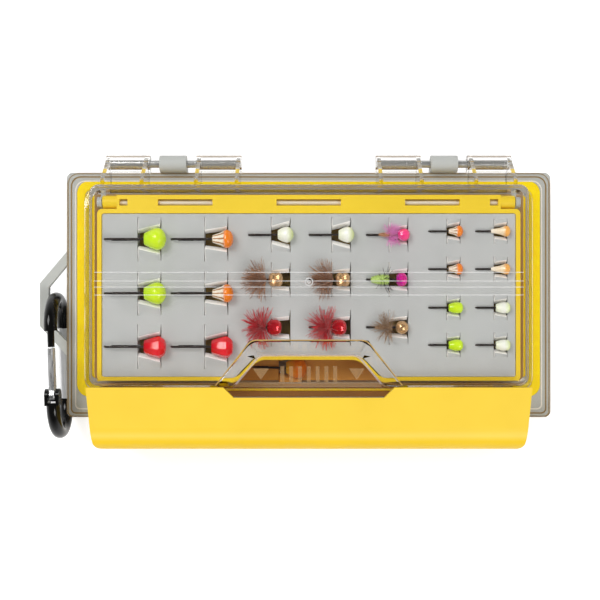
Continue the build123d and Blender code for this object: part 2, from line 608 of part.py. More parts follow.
def latch_block(inset, back, low):
    """The latch's outer block, or the hollow inside it."""
    front = LATCH_FRONT + inset
    top = LATCH_TOP_Z - inset
    radius = LATCH_FLAT_FRONT - LATCH_FRONT
    bend = math.sqrt(0.5) * (radius - inset)
    middle = (LATCH_FLAT_FRONT - bend, LATCH_TOP_Z - radius + bend)
    side = LATCH_HALF_TOP + 5 * OVER
    outline = Polyline((back, low), (front, low), (front, LATCH_TOP_Z - radius))
    outline += ThreePointArc((front, LATCH_TOP_Z - radius), middle, (LATCH_FLAT_FRONT, top))
    outline += Polyline((LATCH_FLAT_FRONT, top), (back, top), (back, low))
    plane = Plane(origin=(-side, 0, 0), x_dir=(0, 1, 0), z_dir=(1, 0, 0))
    body = extrude(plane * make_face(outline), 2 * side)
    slope = (LATCH_HALF_TOP - LATCH_HALF_BOTTOM) / (LATCH_BACK - LATCH_FRONT)
    over = 4 * OVER
    ends = trapezoid(LATCH_BACK + over, LATCH_HALF_TOP - inset + over * slope,
                     front, LATCH_HALF_BOTTOM - inset + inset * slope)
    plan = make_face(Polyline(*ends, close=True))
    corners = [v for v in plan.vertices() if v.Y < LATCH_FRONT + inset + OVER]
    plan = fillet(corners, LATCH_CORNER_R - inset / 2)
    return body & extrude(Pos(0, 0, low - OVER) * plan, LATCH_TOP_Z - low + 2 * OVER)


def latch_cover():
    """The full-width latch: a bent cover with end walls, a thumb notch, a lip and two knuckles."""
    cover = latch_block(0, LATCH_BACK, LATCH_BOTTOM_Z)
    hollow = latch_block(LATCH_WALL, LATCH_BACK + 3 * OVER, LATCH_BOTTOM_Z - 3 * OVER)
    cover -= hollow
    relief = [
        (LATCH_SIDE_BACK, LATCH_BOTTOM_Z - OVER), (LATCH_SIDE_BACK, LATCH_SIDE_TURN_Z),
        (LATCH_BACK + LATCH_LIP_EDGE, LATCH_TOP_Z - LATCH_WALL + LATCH_LIP_UNDER),
        (LATCH_BACK + OVER, LATCH_BOTTOM_Z - OVER),
    ]
    cover -= slab_x(relief, -LATCH_HALF_TOP - 2 * OVER, LATCH_HALF_TOP + 2 * OVER)
    notch = trapezoid(LATCH_BACK - NOTCH_DEPTH, NOTCH_HALF_BOTTOM, LATCH_BACK, NOTCH_HALF_TOP)
    step = (NOTCH_HALF_TOP - NOTCH_HALF_BOTTOM) / NOTCH_DEPTH
    notch = [notch[0], notch[1], (NOTCH_HALF_TOP + OVER * step, LATCH_BACK + OVER),
             (-NOTCH_HALF_TOP - OVER * step, LATCH_BACK + OVER)]
    cover -= prism(notch, LATCH_TOP_Z - LATCH_WALL - OVER, LATCH_TOP_Z + OVER)
    start = LATCH_LUG_INNER + LATCH_LUG_WIDTH + LATCH_LUG_GAP
    end = start + LATCH_KNUCKLE_LENGTH
    knuckle = bar_x(LATCH_KNUCKLE_R, LATCH_Y, LATCH_Z, start, end)
    knuckle += block((start, end), (LATCH_FRONT + LATCH_WALL / 2, LATCH_Y),
                     (LATCH_Z - LATCH_KNUCKLE_R, LATCH_Z + LATCH_KNUCKLE_R))
    for piece in at_both_ends(knuckle):
        cover += piece
    bore = LATCH_PIN_R + RUN_CLEARANCE
    for side in mirrored((start, end)):
        cover -= bar_x(bore, LATCH_Y, LATCH_Z, side[0] - OVER, side[1] + OVER)
    return single(cover)


def cut_outline(grow, front):
    """The thumb cut-out in the leaf's front edge, grown by a rim."""
    slope = (CUT_FRONT_HALF - CUT_BACK_HALF) / (CUT_BACK - LEAF_FRONT)
    return trapezoid(CUT_BACK + grow, CUT_BACK_HALF + grow, front,
                     CUT_FRONT_HALF + grow + slope * (LEAF_FRONT - front))


def leaf_tray():
    """Yellow leaf: an open tray with a thumb cut-out, and a windowed bar with its end pivots."""
    outline = round_rectangle(LEAF_HALF_X, LEAF_FRONT, LEAF_BACK, LEAF_CORNER_R)
    tray = Pos(0, 0, LEAF_BOTTOM_Z) * extrude(outline, LEAF_TOP_Z - LEAF_BOTTOM_Z)
    inside = round_rectangle(LEAF_HALF_X - LEAF_RIM, LEAF_FRONT + LEAF_RIM, LEAF_BACK - LEAF_RIM,
                             LEAF_CORNER_R - LEAF_RIM / 2)
    pocket = Pos(0, 0, LEAF_BOTTOM_Z + LEAF_PLATE) * extrude(inside, LEAF_TOP_Z)
    pocket -= prism(cut_outline(0, LEAF_FRONT - OVER), LEAF_BOTTOM_Z - OVER, 3 * LEAF_TOP_Z)
    tray -= pocket
    tray -= prism(cut_outline(-LEAF_RIM, LEAF_FRONT - OVER), LEAF_BOTTOM_Z - OVER, LEAF_TOP_Z + OVER)
    bar_top = LEAF_PIVOT_Z + LEAF_BAR_R
    tray += block((-LEAF_SWELL_INNER, LEAF_SWELL_INNER),
                  (LEAF_BACK - LEAF_RIM / 2, LEAF_PIVOT_Y + LEAF_BAR_R),
                  (bar_top - LEAF_BAR_HEIGHT, bar_top))
    for side in mirrored((LEAF_SWELL_INNER, LEAF_BAR_HALF)):
        swell = bar_x(LEAF_BAR_R, LEAF_PIVOT_Y, LEAF_PIVOT_Z, side[0], side[1])
        swell += block(side, (LEAF_BACK - LEAF_RIM / 2, LEAF_PIVOT_Y),
                       (LEAF_PIVOT_Z - LEAF_BAR_R, LEAF_PIVOT_Z))
        tray += swell
    for window in LEAF_WINDOWS:
        for side in mirrored(window):
            tray -= block(side, (WINDOW_FRONT, WINDOW_BACK), (LEAF_BOTTOM_Z, LEAF_TOP_Z + OVER))
    for side in mirrored((PIVOT_PIN_START, LEAF_BAR_HALF + OVER)):
        tray -= bar_x(PIVOT_PIN_R, LEAF_PIVOT_Y, LEAF_PIVOT_Z, side[0], side[1])
    return single(tray)


def leaf_foam():
    """Grey foam that fills the leaf's tray, round the thumb cut-out."""
    inset = LEAF_RIM + FOAM_GAP
    outline = round_rectangle(LEAF_HALF_X - inset, LEAF_FRONT + inset, LEAF_BACK - inset,
                              LEAF_FOAM_CORNER_R)
    low = LEAF_BOTTOM_Z + LEAF_PLATE
    pad = Pos(0, 0, low) * extrude(outline, LEAF_TOP_Z - LEAF_FOAM_SINK - low)
    pad -= prism(cut_outline(FOAM_GAP, LEAF_FRONT - OVER), low - OVER, LEAF_TOP_Z + OVER)
    for size, x_values, y_values in LEAF_JIGS:
        pad -= jig_pockets(size, column(x_values, y_values), leaf_jig_z(size))
    return single(pad)


def base_foam():
    """Grey foam in the base, with pockets for its own jigs."""
    outline = round_rectangle(BASE_FOAM_HALF_X, BASE_FOAM_FRONT, BASE_FOAM_BACK,
                              BASE_FOAM_CORNER_R)
    pad = Pos(0, 0, BASE_FLOOR) * extrude(outline, BASE_FOAM_THICK)
    return single(pad - jig_pockets(LARGE, column(BASE_JIG_X, BASE_JIG_Y), base_jig_z(LARGE)))


def collar_face(size):
    """Where a head's flat collar ends and its hook begins."""
    return -size["head_half"] * COLLAR_SHARE


def jig_head(size):
    """A pear-shaped head along X: a round nose and a narrower collar, with its middle at the origin."""
    radius = size["head_r"]
    half = size["head_half"]
    collar = radius * COLLAR_R_SHARE
    back = collar_face(size)
    outline = Polyline((back, 0), (back, collar))
    outline += Spline((back, collar), (half - radius, radius), (half, 0),
                      tangents=[(1, COLLAR_SLOPE), (0, -1)])
    outline += Line((half, 0), (back, 0))
    return revolve(make_face(outline), Axis.X)


def jig_hook(size):
    """A hook along X: the shank from the head, and the bend and point down into the foam."""
    shank_end = -size["head_half"] - size["shank"]
    bend = size["gap"] / 2
    point = shank_end + size["shank"] * POINT_SHARE
    path = Line((collar_face(size), 0, 0), (shank_end + bend, 0, 0))
    path += ThreePointArc((shank_end + bend, 0, 0), (shank_end, 0, -bend),
                          (shank_end + bend, 0, -size["gap"]))
    path += Line((shank_end + bend, 0, -size["gap"]), (point, 0, -size["gap"]))
    start = Plane(origin=(collar_face(size), 0, 0), x_dir=(0, 1, 0), z_dir=(-1, 0, 0))
    return sweep(start * Circle(size["wire"]), path=path)


def above_foam(shape, size):
    """The part of a soft dressing that stays above the foam's face."""
    reach = size["shank"] + size["head_half"] + HACKLE_R
    low = HACKLE_FLOOR_GAP - size["head_r"] * HEAD_LIFT
    return shape & block((-reach, reach), (-reach, reach), (low, reach))


def hackle(size):
    """The outer shape of a feather hackle: a cone that opens back along the hook."""
    front = collar_face(size)
    back = front - HACKLE_LENGTH
    inner = size["wire"] + HACKLE_WIRE_GAP
    outline = Polyline((front, inner), (front, size["head_r"] * HACKLE_COLLAR_SHARE),
                       (back, HACKLE_R),
                       (back, inner), (front, inner))
    return above_foam(revolve(make_face(outline), Axis.X), size)


def insect_body(size):
    """A segmented body behind the head of one jig."""
    front = collar_face(size)
    back = front - INSECT_BODY_LENGTH
    inner = size["wire"] + INSECT_WIRE_GAP
    outline = Polyline((front, inner), (front, INSECT_BODY_R), (back, INSECT_BODY_R * INSECT_TAIL_SHARE),
                       (back, inner), (front, inner))
    return above_foam(revolve(make_face(outline), Axis.X), size)


def leaf_jig_z(size):
    """The height of a jig's axis on the leaf: its head is sunk a little into the foam."""
    return LEAF_TOP_Z - LEAF_FOAM_SINK + size["head_r"] * HEAD_LIFT


def base_jig_z(size):
    """The height of a jig's axis in the base."""
    return BASE_FOAM_TOP + size["head_r"] * HEAD_LIFT


def placed(shape, places, z):
    """Copies of a jig's piece at their places in plan."""
    return Compound(children=[Pos(x, y, z) * single(shape) for x, y in places])


def column(x_values, y_values):
    """Every crossing of some columns with some rows."""
    return [(x, y) for y in y_values for x in x_values]


def jig_pockets(size, places, z):
    """What the foam leaves free at each jig: a pocket for the head and a slit for the hook."""
    gap = POCKET_GAP
    radius = size["head_r"] + gap
    half = size["head_half"] + gap
    wire = size["wire"] + gap
    head = block((-half, half), (-radius, radius), (-radius, radius * POCKET_HEIGHT))
    slit = block((-size["head_half"] - size["shank"] - wire, 0), (-wire, wire),
                 (-size["gap"] - wire, radius * POCKET_HEIGHT))
    return [Pos(x, y, z) * (head + slit) for x, y in places]


def jig_nodes():
    """Hooks, heads, hackles and bodies of every jig, grouped by kind."""
    nodes = {}
    for name, (size, x_values, y_values) in zip(("large", "medium", "small"), LEAF_JIGS):
        nodes[f"jig_hooks_{name}"] = placed(jig_hook(size), column(x_values, y_values),
                                            leaf_jig_z(size))
    heads = (
        ("heads_chartreuse", LARGE, [(LARGE_X[0], LARGE_Y[0]), (LARGE_X[0], LARGE_Y[1])]),
        ("heads_gold_orange", LARGE, [(LARGE_X[1], LARGE_Y[0]), (LARGE_X[1], LARGE_Y[1])]),
        ("heads_red", LARGE, column(LARGE_X, LARGE_Y[2:])),
        ("heads_glow", MEDIUM, column(MEDIUM_X[:2], MEDIUM_Y[:1])),
        ("head_pink", MEDIUM, [(MEDIUM_X[2], MEDIUM_Y[0])]),
        ("beads_gold", MEDIUM, column(MEDIUM_X[:2], MEDIUM_Y[1:2])),
        ("head_magenta", MEDIUM, [(MEDIUM_X[2], MEDIUM_Y[1])]),
        ("beads_red", MEDIUM, column(MEDIUM_X[:2], MEDIUM_Y[2:])),
        ("bead_brass", MEDIUM, [(MEDIUM_X[2], MEDIUM_Y[2])]),
        ("small_heads_orange", SMALL, column(SMALL_X[:1], SMALL_Y[:2])),
        ("small_heads_cream", SMALL, column(SMALL_X[1:], SMALL_Y[:2])),
        ("small_heads_chartreuse", SMALL, column(SMALL_X[:1], SMALL_Y[2:])),
        ("small_heads_glow", SMALL, column(SMALL_X[1:], SMALL_Y[2:])),
    )
    for name, size, places in heads:
        nodes[name] = placed(jig_head(size), places, leaf_jig_z(size))
    hackles = (
        ("hackle_pink", [(MEDIUM_X[2], MEDIUM_Y[0])]),
        ("hackles_brown", column(MEDIUM_X[:2], MEDIUM_Y[1:2])),
        ("hackles_red", column(MEDIUM_X[:2], MEDIUM_Y[2:])),
        ("hackle_tan", [(MEDIUM_X[2], MEDIUM_Y[2])]),
    )
    for name, places in hackles:
        nodes[name] = placed(hackle(MEDIUM), places, leaf_jig_z(MEDIUM))
    nodes["insect_body_green"] = placed(insect_body(MEDIUM), [(MEDIUM_X[2], MEDIUM_Y[1])],
                                        leaf_jig_z(MEDIUM))
    base_places = column(BASE_JIG_X, BASE_JIG_Y)
    nodes["base_jig_hooks"] = placed(jig_hook(LARGE), base_places, base_jig_z(LARGE))
    nodes["base_heads_orange"] = placed(jig_head(LARGE), base_places[0::3] + base_places[1::3],
                                        base_jig_z(LARGE))
    nodes["base_heads_green"] = placed(jig_head(LARGE), base_places[2::3], base_jig_z(LARGE))
    return nodes


def ring_frame():
    """Where the carabiner stands: its length along the plane's X, its width along the plane's Y."""
    lean = math.radians(RING_LEAN)
    along = Vector(-math.sin(lean), math.cos(lean), 0)
    middle = Vector(RING_X, RING_TOP_Y - RING_LENGTH / 2, RING_Z)
    return Plane(origin=middle, x_dir=along, z_dir=Vector(math.cos(lean), math.sin(lean), 0))


def carabiner_body():
    """The open ring: a bent bar from the gate's joint round both ends to the nose."""
    side = RING_SIDE
    straight = RING_STRAIGHT
    path = Line((GATE_JOINT_END, side), (-straight, side))
    path += ThreePointArc((-straight, side), (-straight - side, 0), (-straight, -side))
    path += Line((-straight, -side), (straight, -side))
    path += ThreePointArc((straight, -side), (straight + side, 0), (straight, side))
    path += Line((straight, side), (NOSE_START, side))
    start = Plane(origin=(GATE_JOINT_END, side, 0), x_dir=(0, 0, 1), z_dir=(-1, 0, 0))
    ring = sweep(start * Circle(RING_WIRE_R), path=path)
    nose = Plane(origin=(NOSE_END, side, 0), x_dir=(0, 0, 1), z_dir=(1, 0, 0))
    ring += extrude(nose * Circle(NOSE_R), straight - NOSE_END)
    for inner in (GATE_WIDE / 2 + GATE_GAP, -GATE_WIDE / 2 - GATE_GAP - FORK_THICK):
        cheek = Plane(origin=(0, 0, inner), x_dir=(1, 0, 0), z_dir=(0, 0, 1))
        shape = Pos(GATE_PIVOT, side) * Circle(RING_WIRE_R)
        shape += Pos((GATE_PIVOT + GATE_JOINT_END - JOINT_ROOT) / 2, side) * Rectangle(
            GATE_PIVOT - GATE_JOINT_END + JOINT_ROOT, 2 * RING_WIRE_R)
        ring += extrude(cheek * shape, FORK_THICK)
    rivet = Plane(origin=(GATE_PIVOT, side, -RING_SIDE), x_dir=(1, 0, 0), z_dir=(0, 0, 1))
    ring -= extrude(rivet * Circle(RIVET_R), 2 * RING_SIDE)
    return ring


def gate_rivet():
    """The rivet through the fork's two cheeks."""
    half = GATE_WIDE / 2 + GATE_GAP + FORK_THICK
    plane = Plane(origin=(GATE_PIVOT, RING_SIDE, -half), x_dir=(1, 0, 0), z_dir=(0, 0, 1))
    return extrude(plane * Circle(RIVET_R), 2 * half)


def carabiner_gate():
    """The gate: a flat-sided bar from its eye on the rivet to its tip beside the nose."""
    side = RING_SIDE
    tip = NOSE_END - GATE_GAP
    middle = (GATE_PIVOT + tip) / 2
    shape = Pos(middle, side) * Rectangle(tip - GATE_PIVOT, GATE_TALL)
    shape += Pos(GATE_PIVOT, side) * Circle(GATE_EYE_R)
    plane = Plane(origin=(0, 0, -GATE_WIDE / 2), x_dir=(1, 0, 0), z_dir=(0, 0, 1))
    gate = extrude(plane * shape, GATE_WIDE)
    rivet = Plane(origin=(GATE_PIVOT, side, -RING_SIDE), x_dir=(1, 0, 0), z_dir=(0, 0, 1))
    gate -= extrude(rivet * Circle(RIVET_R + RUN_CLEARANCE), 2 * RING_SIDE)
    start = GATE_PIVOT + GATE_EYE_R + SPRING_FROM_EYE
    bore = Plane(origin=(start, side, 0), x_dir=(0, 0, 1), z_dir=(1, 0, 0))
    return gate - extrude(bore * Circle(SPRING_BORE_R), SPRING_LENGTH + 2 * SPRING_WIRE_R)


def gate_spring():
    """The small coil spring inside the gate's tail."""
    start = GATE_PIVOT + GATE_EYE_R + SPRING_FROM_EYE + SPRING_WIRE_R
    wire = Helix(pitch=SPRING_LENGTH / SPRING_TURNS, height=SPRING_LENGTH, radius=SPRING_R)
    section = Plane(origin=wire @ 0, z_dir=wire % 0) * Circle(SPRING_WIRE_R)
    coil = sweep(section, path=wire)
    place = Plane(origin=(start, RING_SIDE, 0), x_dir=(0, 0, 1), z_dir=(1, 0, 0))
    return place.location * coil


def save(name, shape):
    """One STEP file for one named piece."""
    export_step(shape, f"parts/{name}.step")


def pin_pair(radius, spans, y, z):
    """Left and right pins."""
    return [bar_x(radius, y, z, low, high) for low, high in spans]


def main():
    """Build every piece and write it."""
    os.makedirs("parts", exist_ok=True)
    save("base_shell", base_shell())
    save("clear_lid", clear_lid())
    save("rim_gasket", gasket_ring(PARTING_Z - GROOVE_DEPTH, LID_Z - GASKET_TOP_GAP))
    save("latch_cover", latch_cover())
    save("leaf_tray", leaf_tray())
    save("leaf_foam", leaf_foam())
    save("base_foam", base_foam())
    hinge_span = (HINGE_INNER[0] + PIN_INSET, HINGE_OUTER[1] - PIN_INSET)
    right, left = pin_pair(HINGE_PIN_R, mirrored(hinge_span), HINGE_Y, HINGE_Z)
    save("hinge_pin_right", right)
    save("hinge_pin_left", left)
    right, left = pin_pair(LATCH_PIN_R, mirrored((LATCH_LUG_INNER, LATCH_LUG_OUTER)),
                           LATCH_Y, LATCH_Z)
    save("latch_pin_right", right)
    save("latch_pin_left", left)
    right, left = pin_pair(PIVOT_PIN_R, mirrored((PIVOT_PIN_START, POST_X + POST_THICK - PIVOT_PIN_SHORT)),
                           LEAF_PIVOT_Y, LEAF_PIVOT_Z)
    save("leaf_pivot_pin_right", right)
    save("leaf_pivot_pin_left", left)
    for name, shape in jig_nodes().items():
        save(name, shape)
    place = ring_frame().location
    save("carabiner_body", single(place * carabiner_body()))
    save("gate_rivet", single(place * gate_rivet()))
    save("carabiner_gate", single(place * carabiner_gate()))
    save("gate_spring", single(place * gate_spring()))


main()
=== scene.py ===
import json
import math

import bmesh
import bpy
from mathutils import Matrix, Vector

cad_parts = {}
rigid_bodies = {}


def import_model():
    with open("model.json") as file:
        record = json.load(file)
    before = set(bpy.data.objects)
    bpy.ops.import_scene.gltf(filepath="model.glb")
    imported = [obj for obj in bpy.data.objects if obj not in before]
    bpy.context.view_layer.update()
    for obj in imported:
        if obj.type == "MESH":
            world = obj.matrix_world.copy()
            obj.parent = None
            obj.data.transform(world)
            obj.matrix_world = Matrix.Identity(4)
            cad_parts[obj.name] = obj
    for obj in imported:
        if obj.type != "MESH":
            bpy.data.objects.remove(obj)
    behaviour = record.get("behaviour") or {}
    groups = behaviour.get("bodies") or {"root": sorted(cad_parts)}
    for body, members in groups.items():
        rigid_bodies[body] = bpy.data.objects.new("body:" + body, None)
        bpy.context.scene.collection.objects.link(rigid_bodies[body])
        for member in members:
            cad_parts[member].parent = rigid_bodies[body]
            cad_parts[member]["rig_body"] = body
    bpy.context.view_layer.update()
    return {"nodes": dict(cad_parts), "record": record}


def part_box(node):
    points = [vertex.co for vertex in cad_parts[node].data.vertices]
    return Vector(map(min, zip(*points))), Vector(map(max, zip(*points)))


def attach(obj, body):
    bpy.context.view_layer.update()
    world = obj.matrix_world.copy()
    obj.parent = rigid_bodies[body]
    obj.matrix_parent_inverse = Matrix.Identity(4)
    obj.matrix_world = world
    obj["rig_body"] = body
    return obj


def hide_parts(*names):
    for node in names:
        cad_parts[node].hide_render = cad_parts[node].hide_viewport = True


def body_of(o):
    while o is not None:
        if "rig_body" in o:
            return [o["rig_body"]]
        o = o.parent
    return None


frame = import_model()

# A closed jig box lying on its back, seen from above. Lengths here are millimetres, made metres by MM.
MM = 0.001

# The photograph: one pixel at the lid's flange, and where the lens looks straight down
IMAGE_PX = 600
FLANGE_MM_PER_PX = 0.396
FLANGE_Z = 20.5
CAMERA_X = -3.4
CAMERA_Y = -2.0
CAMERA_RISE = 410.0
SENSOR = 36.0

# Faces of a solid that meet at less than this many degrees are shaded as one curve
SMOOTH_BELOW = 35

# Foam pads: the thumb cut-out, the soft edge, how far a pad reaches past its solid, and the flaps
LEAF_CUT_BACK = -23.45
LEAF_CUT_BACK_HALF = 21.2
LEAF_CUT_FRONT_HALF = 29.1
FOAM_EDGE = 0.25
FOAM_REACH = 0.25
FLAP_THICK = 3.4
FLAP_ROWS = 7

# The flaps' ends: a slope at the left slit, painted pale as a lit cut face, and a dark gap at the right one
LEFT_GAP = 0.05
LEFT_SLOPE = 0.45
LEFT_DROP = 0.7
RIGHT_GAP = 0.12
RIGHT_OPEN = 0.75

# Rounded upright corners: radius, and from where to where they lie across and along, at both sides
RECESS_CORNER = 2.4
RECESS_CORNERS_X = (18.0, 36.0)
RECESS_CORNERS_Y = (-38.0, -17.0)
LID_UNDERSIDE = (28.0, 29.0)
LATCH_CORNER = 1.5
LATCH_CORNERS_X = (84.5, 100.0)
LATCH_CORNERS_Y = (-36.0, 0.0)

# The large hooks' shanks: where they start behind the bend, and how much longer they are drawn
SHANK_STEP = 8.0
SHANK_EXTRA = 2.4

# Rods in the windows of the leaf's bar
BAR_WINDOWS = ((-73.6, -70.4), (-58.6, -37.4), (-12.5, 12.5), (37.4, 58.6), (70.4, 73.6))
BAR_ROD = (35.95, 25.3)
BAR_ROD_RADIUS = 0.95

# Highlights painted as pale strips along the edges of the window's stiffening band, and as rings on the gate
# mark: place across, and height above the lid's top
LID_TOP = 38.0
BAND_EDGES = ((-0.1, 0.35), (2.9, 0.65), (5.2, 0.65), (8.5, 0.35))
BAND_HALF = 81.3
BAND_EDGE_WIDTH = 0.26
GATE_MARK = (0.0, 4.85)
GATE_MARK_RADIUS = 1.6
GATE_MARK_RISE = 0.85

# The thumb recess at the lid's top and at its own floor: back, half width there, front, half width there
RECESS_TOP = (-17.7, 21.6, -34.3, 34.9)
RECESS_FLOOR = (-23.1, 19.0, -34.3, 28.4)
RECESS_FLOOR_Z = 30.3

# Boxes inside which painted light changes a finish: a painted glow on the base's inside walls, painted shade
# on the leaf's plate under its foam, painted shade on the seal's front under the thumb recess
BASE_INSIDE = ((-88.0, -38.5, 2.1), (88.0, 42.5, 17.95))
POCKET_SHADE_FILM = ((-80.4, -31.8, 20.25), (80.4, 31.6, 20.6))
SHADED_SEAL_FRONT = ((-36.0, -60.0, 0.0), (36.0, -38.0, 40.0))

# The latch's painted light runs from its roll to the leaf: a deeper yellow painted on the roll as shade,
# then a pale band painted as a highlight
SHADES_FRONT = -62.0
SHADES_BACK = -32.0

# Width of the scratches in bare metal
METAL_SCRATCH = 0.5

# The carabiner's bare back, along Y, and the height at which its ends turn up
BARE_BACK = (-42.0, -13.5)
BARE_BACK_TOP = 12.0

# Marks in the thumb recess: two arrows and a row of grip bars
MARK_ARROWS = (-18.5, 18.5)
MARK_Y = -30.6
MARK_Z = 31.0
MARK_BARS = 7
MARK_PITCH = 3.4
MARK_BAR = (1.5, 6.0)

# The rim under the lid's flange, and where the lines round it end beside the latch
FLANGE_HALF_X = 95.75
FLANGE_BACK = 48.4
FLANGE_CORNER = 2.5
RIM_FRONT_START = 86.6
FRONT_TURN = 2.0
RIM_LINE_Z = 18.0

# Lines round the rim, two painted dark as shadow and one painted pale as a highlight: place in from its
# edge, width, height
RIM_SHADOW_LINES = ((1.2, 0.55, 0.12), (0.1, 0.3, 0.12))
RIM_HIGHLIGHT_LINE = (2.9, 0.5, 0.15)

# One flap pair for each size of jig, from the head's middle: slits left and right, fold, gaps, rise
LARGE_POCKET = {"left": -7.2, "right": 2.1, "fold": 8.6, "inner": (2.4, 4.2), "edge": (3.9, 5.9),
                "rise": 1.1}
MEDIUM_POCKET = {"left": -5.7, "right": 1.9, "fold": 6.8, "inner": (2.0, 3.6), "edge": (3.6, 5.4),
                 "rise": 0.9}
CONE_POCKET = {**LARGE_POCKET, "inner": (2.3, 3.4), "edge": (3.7, 5.0)}
BEAD_POCKET = {**MEDIUM_POCKET, "inner": (2.2, 2.8), "edge": (3.6, 4.4)}
BERRY_POCKET = {**MEDIUM_POCKET, "inner": (1.8, 2.3), "edge": (3.1, 3.8)}
SMALL_POCKET = {"left": -4.0, "right": 1.4, "fold": 4.8, "inner": (1.6, 2.2), "edge": (2.9, 3.6),
                "rise": 0.6}


# Shader sums and node making

class Link:
    """A node's output. Sums written with it add Math nodes."""

    def __init__(self, tree, socket):
        self.tree = tree
        self.socket = socket

    def math(self, operation, first, second):
        node = self.tree.nodes.new("ShaderNodeMath")
        node.operation = operation
        connect(self.tree, node.inputs[0], first)
        connect(self.tree, node.inputs[1], second)
        return Link(self.tree, node.outputs[0])

    def __add__(self, other):
        return self.math("ADD", self, other)

    def __radd__(self, other):
        return self.math("ADD", other, self)

    def __sub__(self, other):
        return self.math("SUBTRACT", self, other)

    def __rsub__(self, other):
        return self.math("SUBTRACT", other, self)

    def __mul__(self, other):
        return self.math("MULTIPLY", self, other)

    def __rmul__(self, other):
        return self.math("MULTIPLY", other, self)

    def __gt__(self, other):
        return self.math("GREATER_THAN", self, other)

    def __lt__(self, other):
        return self.math("LESS_THAN", self, other)

    def larger(self, other):
        return self.math("MAXIMUM", self, other)


def connect(tree, socket, value):
    """Feeds a socket with another node's output, or sets its own value."""
    if isinstance(value, Link):
        tree.links.new(value.socket, socket)
    elif hasattr(value, "__len__") and socket.type == "RGBA" and len(value) == 3:
        socket.default_value = (*value, 1.0)
    elif value is not None:
        socket.default_value = value


def find_socket(sockets, name):
    """A socket by its identifier, or else by its name."""
    for socket in sockets:
        if socket.identifier == name:
            return socket
    return sockets[name]


def add_node(tree, kind, settings=None, sockets=None, output=0):
    """One node: its settings first, then its sockets. Gives back one of its outputs."""
    node = tree.nodes.new(kind)
    for name, value in (settings or {}).items():
        if name == "stops":
            ramp = node.color_ramp
            for i, (place, colour) in enumerate(value):
                stop = ramp.elements[i] if i < 2 else ramp.elements.new(place)
                stop.position = place
                stop.color = (*colour, 1.0)
        else:
            setattr(node, name, value)
    for name, value in (sockets or {}).items():
        connect(tree, find_socket(node.inputs, name), value)
    if not node.outputs:
        return None
    chosen = node.outputs[output] if isinstance(output, int) else find_socket(node.outputs, output)
    return Link(tree, chosen)


class Finish:
    """One material and its tree."""

    def __init__(self, name):
        self.material = bpy.data.materials.new(name)
        self.material.use_nodes = True
        self.tree = self.material.node_tree
        self.tree.nodes.clear()
        self.place = self.node("ShaderNodeTexCoord", output="Object")

    def node(self, kind, settings=None, sockets=None, output=0):
        return add_node(self.tree, kind, settings, sockets, output)

    def noise(self, size_mm, detail=2.0, roughness=0.5):
        """Cloudy noise whose features are about that many millimetres wide."""
        return self.node("ShaderNodeTexNoise", None,
                         {"Vector": self.place, "Scale": 1.0 / (size_mm * MM), "Detail": detail,
                          "Roughness": roughness})

    def grains(self, size_mm):
        """Distance to the middle of the nearest cell."""
        return self.node("ShaderNodeTexVoronoi", None,
                         {"Vector": self.place, "Scale": 1.0 / (size_mm * MM)}, "Distance")

    def axis(self, name):
        """One of the object's own coordinates, in metres."""
        return self.node("ShaderNodeSeparateXYZ", None, {"Vector": self.place}, name)

    def inside(self, low, high):
        """1 within a box given by two corners in millimetres, and 0 outside it."""
        sides = [self.axis(name) for name in "XYZ"]
        masks = [(side > start * MM) * (side < end * MM) for side, start, end in zip(sides, low, high)]
        return masks[0] * masks[1] * masks[2]

    def blend(self, factor, first, second):
        """From one colour to another."""
        return self.node("ShaderNodeMix", {"data_type": "RGBA"},
                         {"Factor_Float": factor, "A_Color": first, "B_Color": second}, "Result_Color")

    def multiply(self, first, second, factor=1.0):
        """One colour times another."""
        return self.node("ShaderNodeMix", {"data_type": "RGBA", "blend_type": "MULTIPLY"},
                         {"Factor_Float": factor, "A_Color": first, "B_Color": second}, "Result_Color")

    def steps(self, value, stops):
        """A colour ramp."""
        return self.node("ShaderNodeValToRGB", {"stops": stops}, {"Fac": value})

    def spread(self, value, low, high, new_low, new_high):
        """One range of values stretched to another."""
        return self.node("ShaderNodeMapRange", None,
                         {"Value": value, "From Min": low, "From Max": high, "To Min": new_low,
                          "To Max": new_high})

    def attribute(self, name):
        """A value that the mesh holds at its points."""
        return self.node("ShaderNodeAttribute", {"attribute_name": name}, None, "Fac")

    def bump(self, height, depth_mm, strength=0.6):
        """A normal from a height map."""
        return self.node("ShaderNodeBump", None,
                         {"Height": height, "Distance": depth_mm * MM, "Strength": strength})

    def surface(self, **sockets):
        """A Principled shader. Names are written with underscores."""
        named = {name.replace("_", " "): value for name, value in sockets.items()}
        return self.node("ShaderNodeBsdfPrincipled", None, named)

    def done(self, shader, volume=None):
        self.node("ShaderNodeOutputMaterial", None, {"Surface": shader, "Volume": volume})
        return self.material


def seen_directly(finish):
    """1 for rays from the camera, and those that a mirror or glass has turned."""
    camera = finish.node("ShaderNodeLightPath", output="Is Camera Ray")
    glossy = finish.node("ShaderNodeLightPath", output="Is Glossy Ray")
    through = finish.node("ShaderNodeLightPath", output="Is Transmission Ray")
    return camera.larger(glossy).larger(through)


# Finishes

def moulded_plastic(finish, colour, roughness, grain_depth, glow=None):
    """Injection-moulded plastic: a fine spark texture, faint flow clouds and light scuffs."""
    cloud = finish.spread(finish.noise(24.0, 3.0), 0.3, 0.7, 0.0, 1.0)
    fine = finish.noise(0.35, 2.0, 0.6)
    tint = finish.multiply(colour, finish.steps(cloud, ((0.0, (0.95,) * 3), (1.0, (1.0,) * 3))))
    rough = finish.spread(finish.noise(6.0, 4.0, 0.7), 0.3, 0.7, roughness * 0.85, roughness * 1.15)
    # glow, where given, is painted light that the surface emits
    return finish.done(finish.surface(Base_Color=tint, Roughness=rough, Specular_IOR_Level=0.3,
                                      Emission_Color=glow, Emission_Strength=1.0 if glow else 0.0,
                                      Normal=finish.bump(fine, grain_depth)))


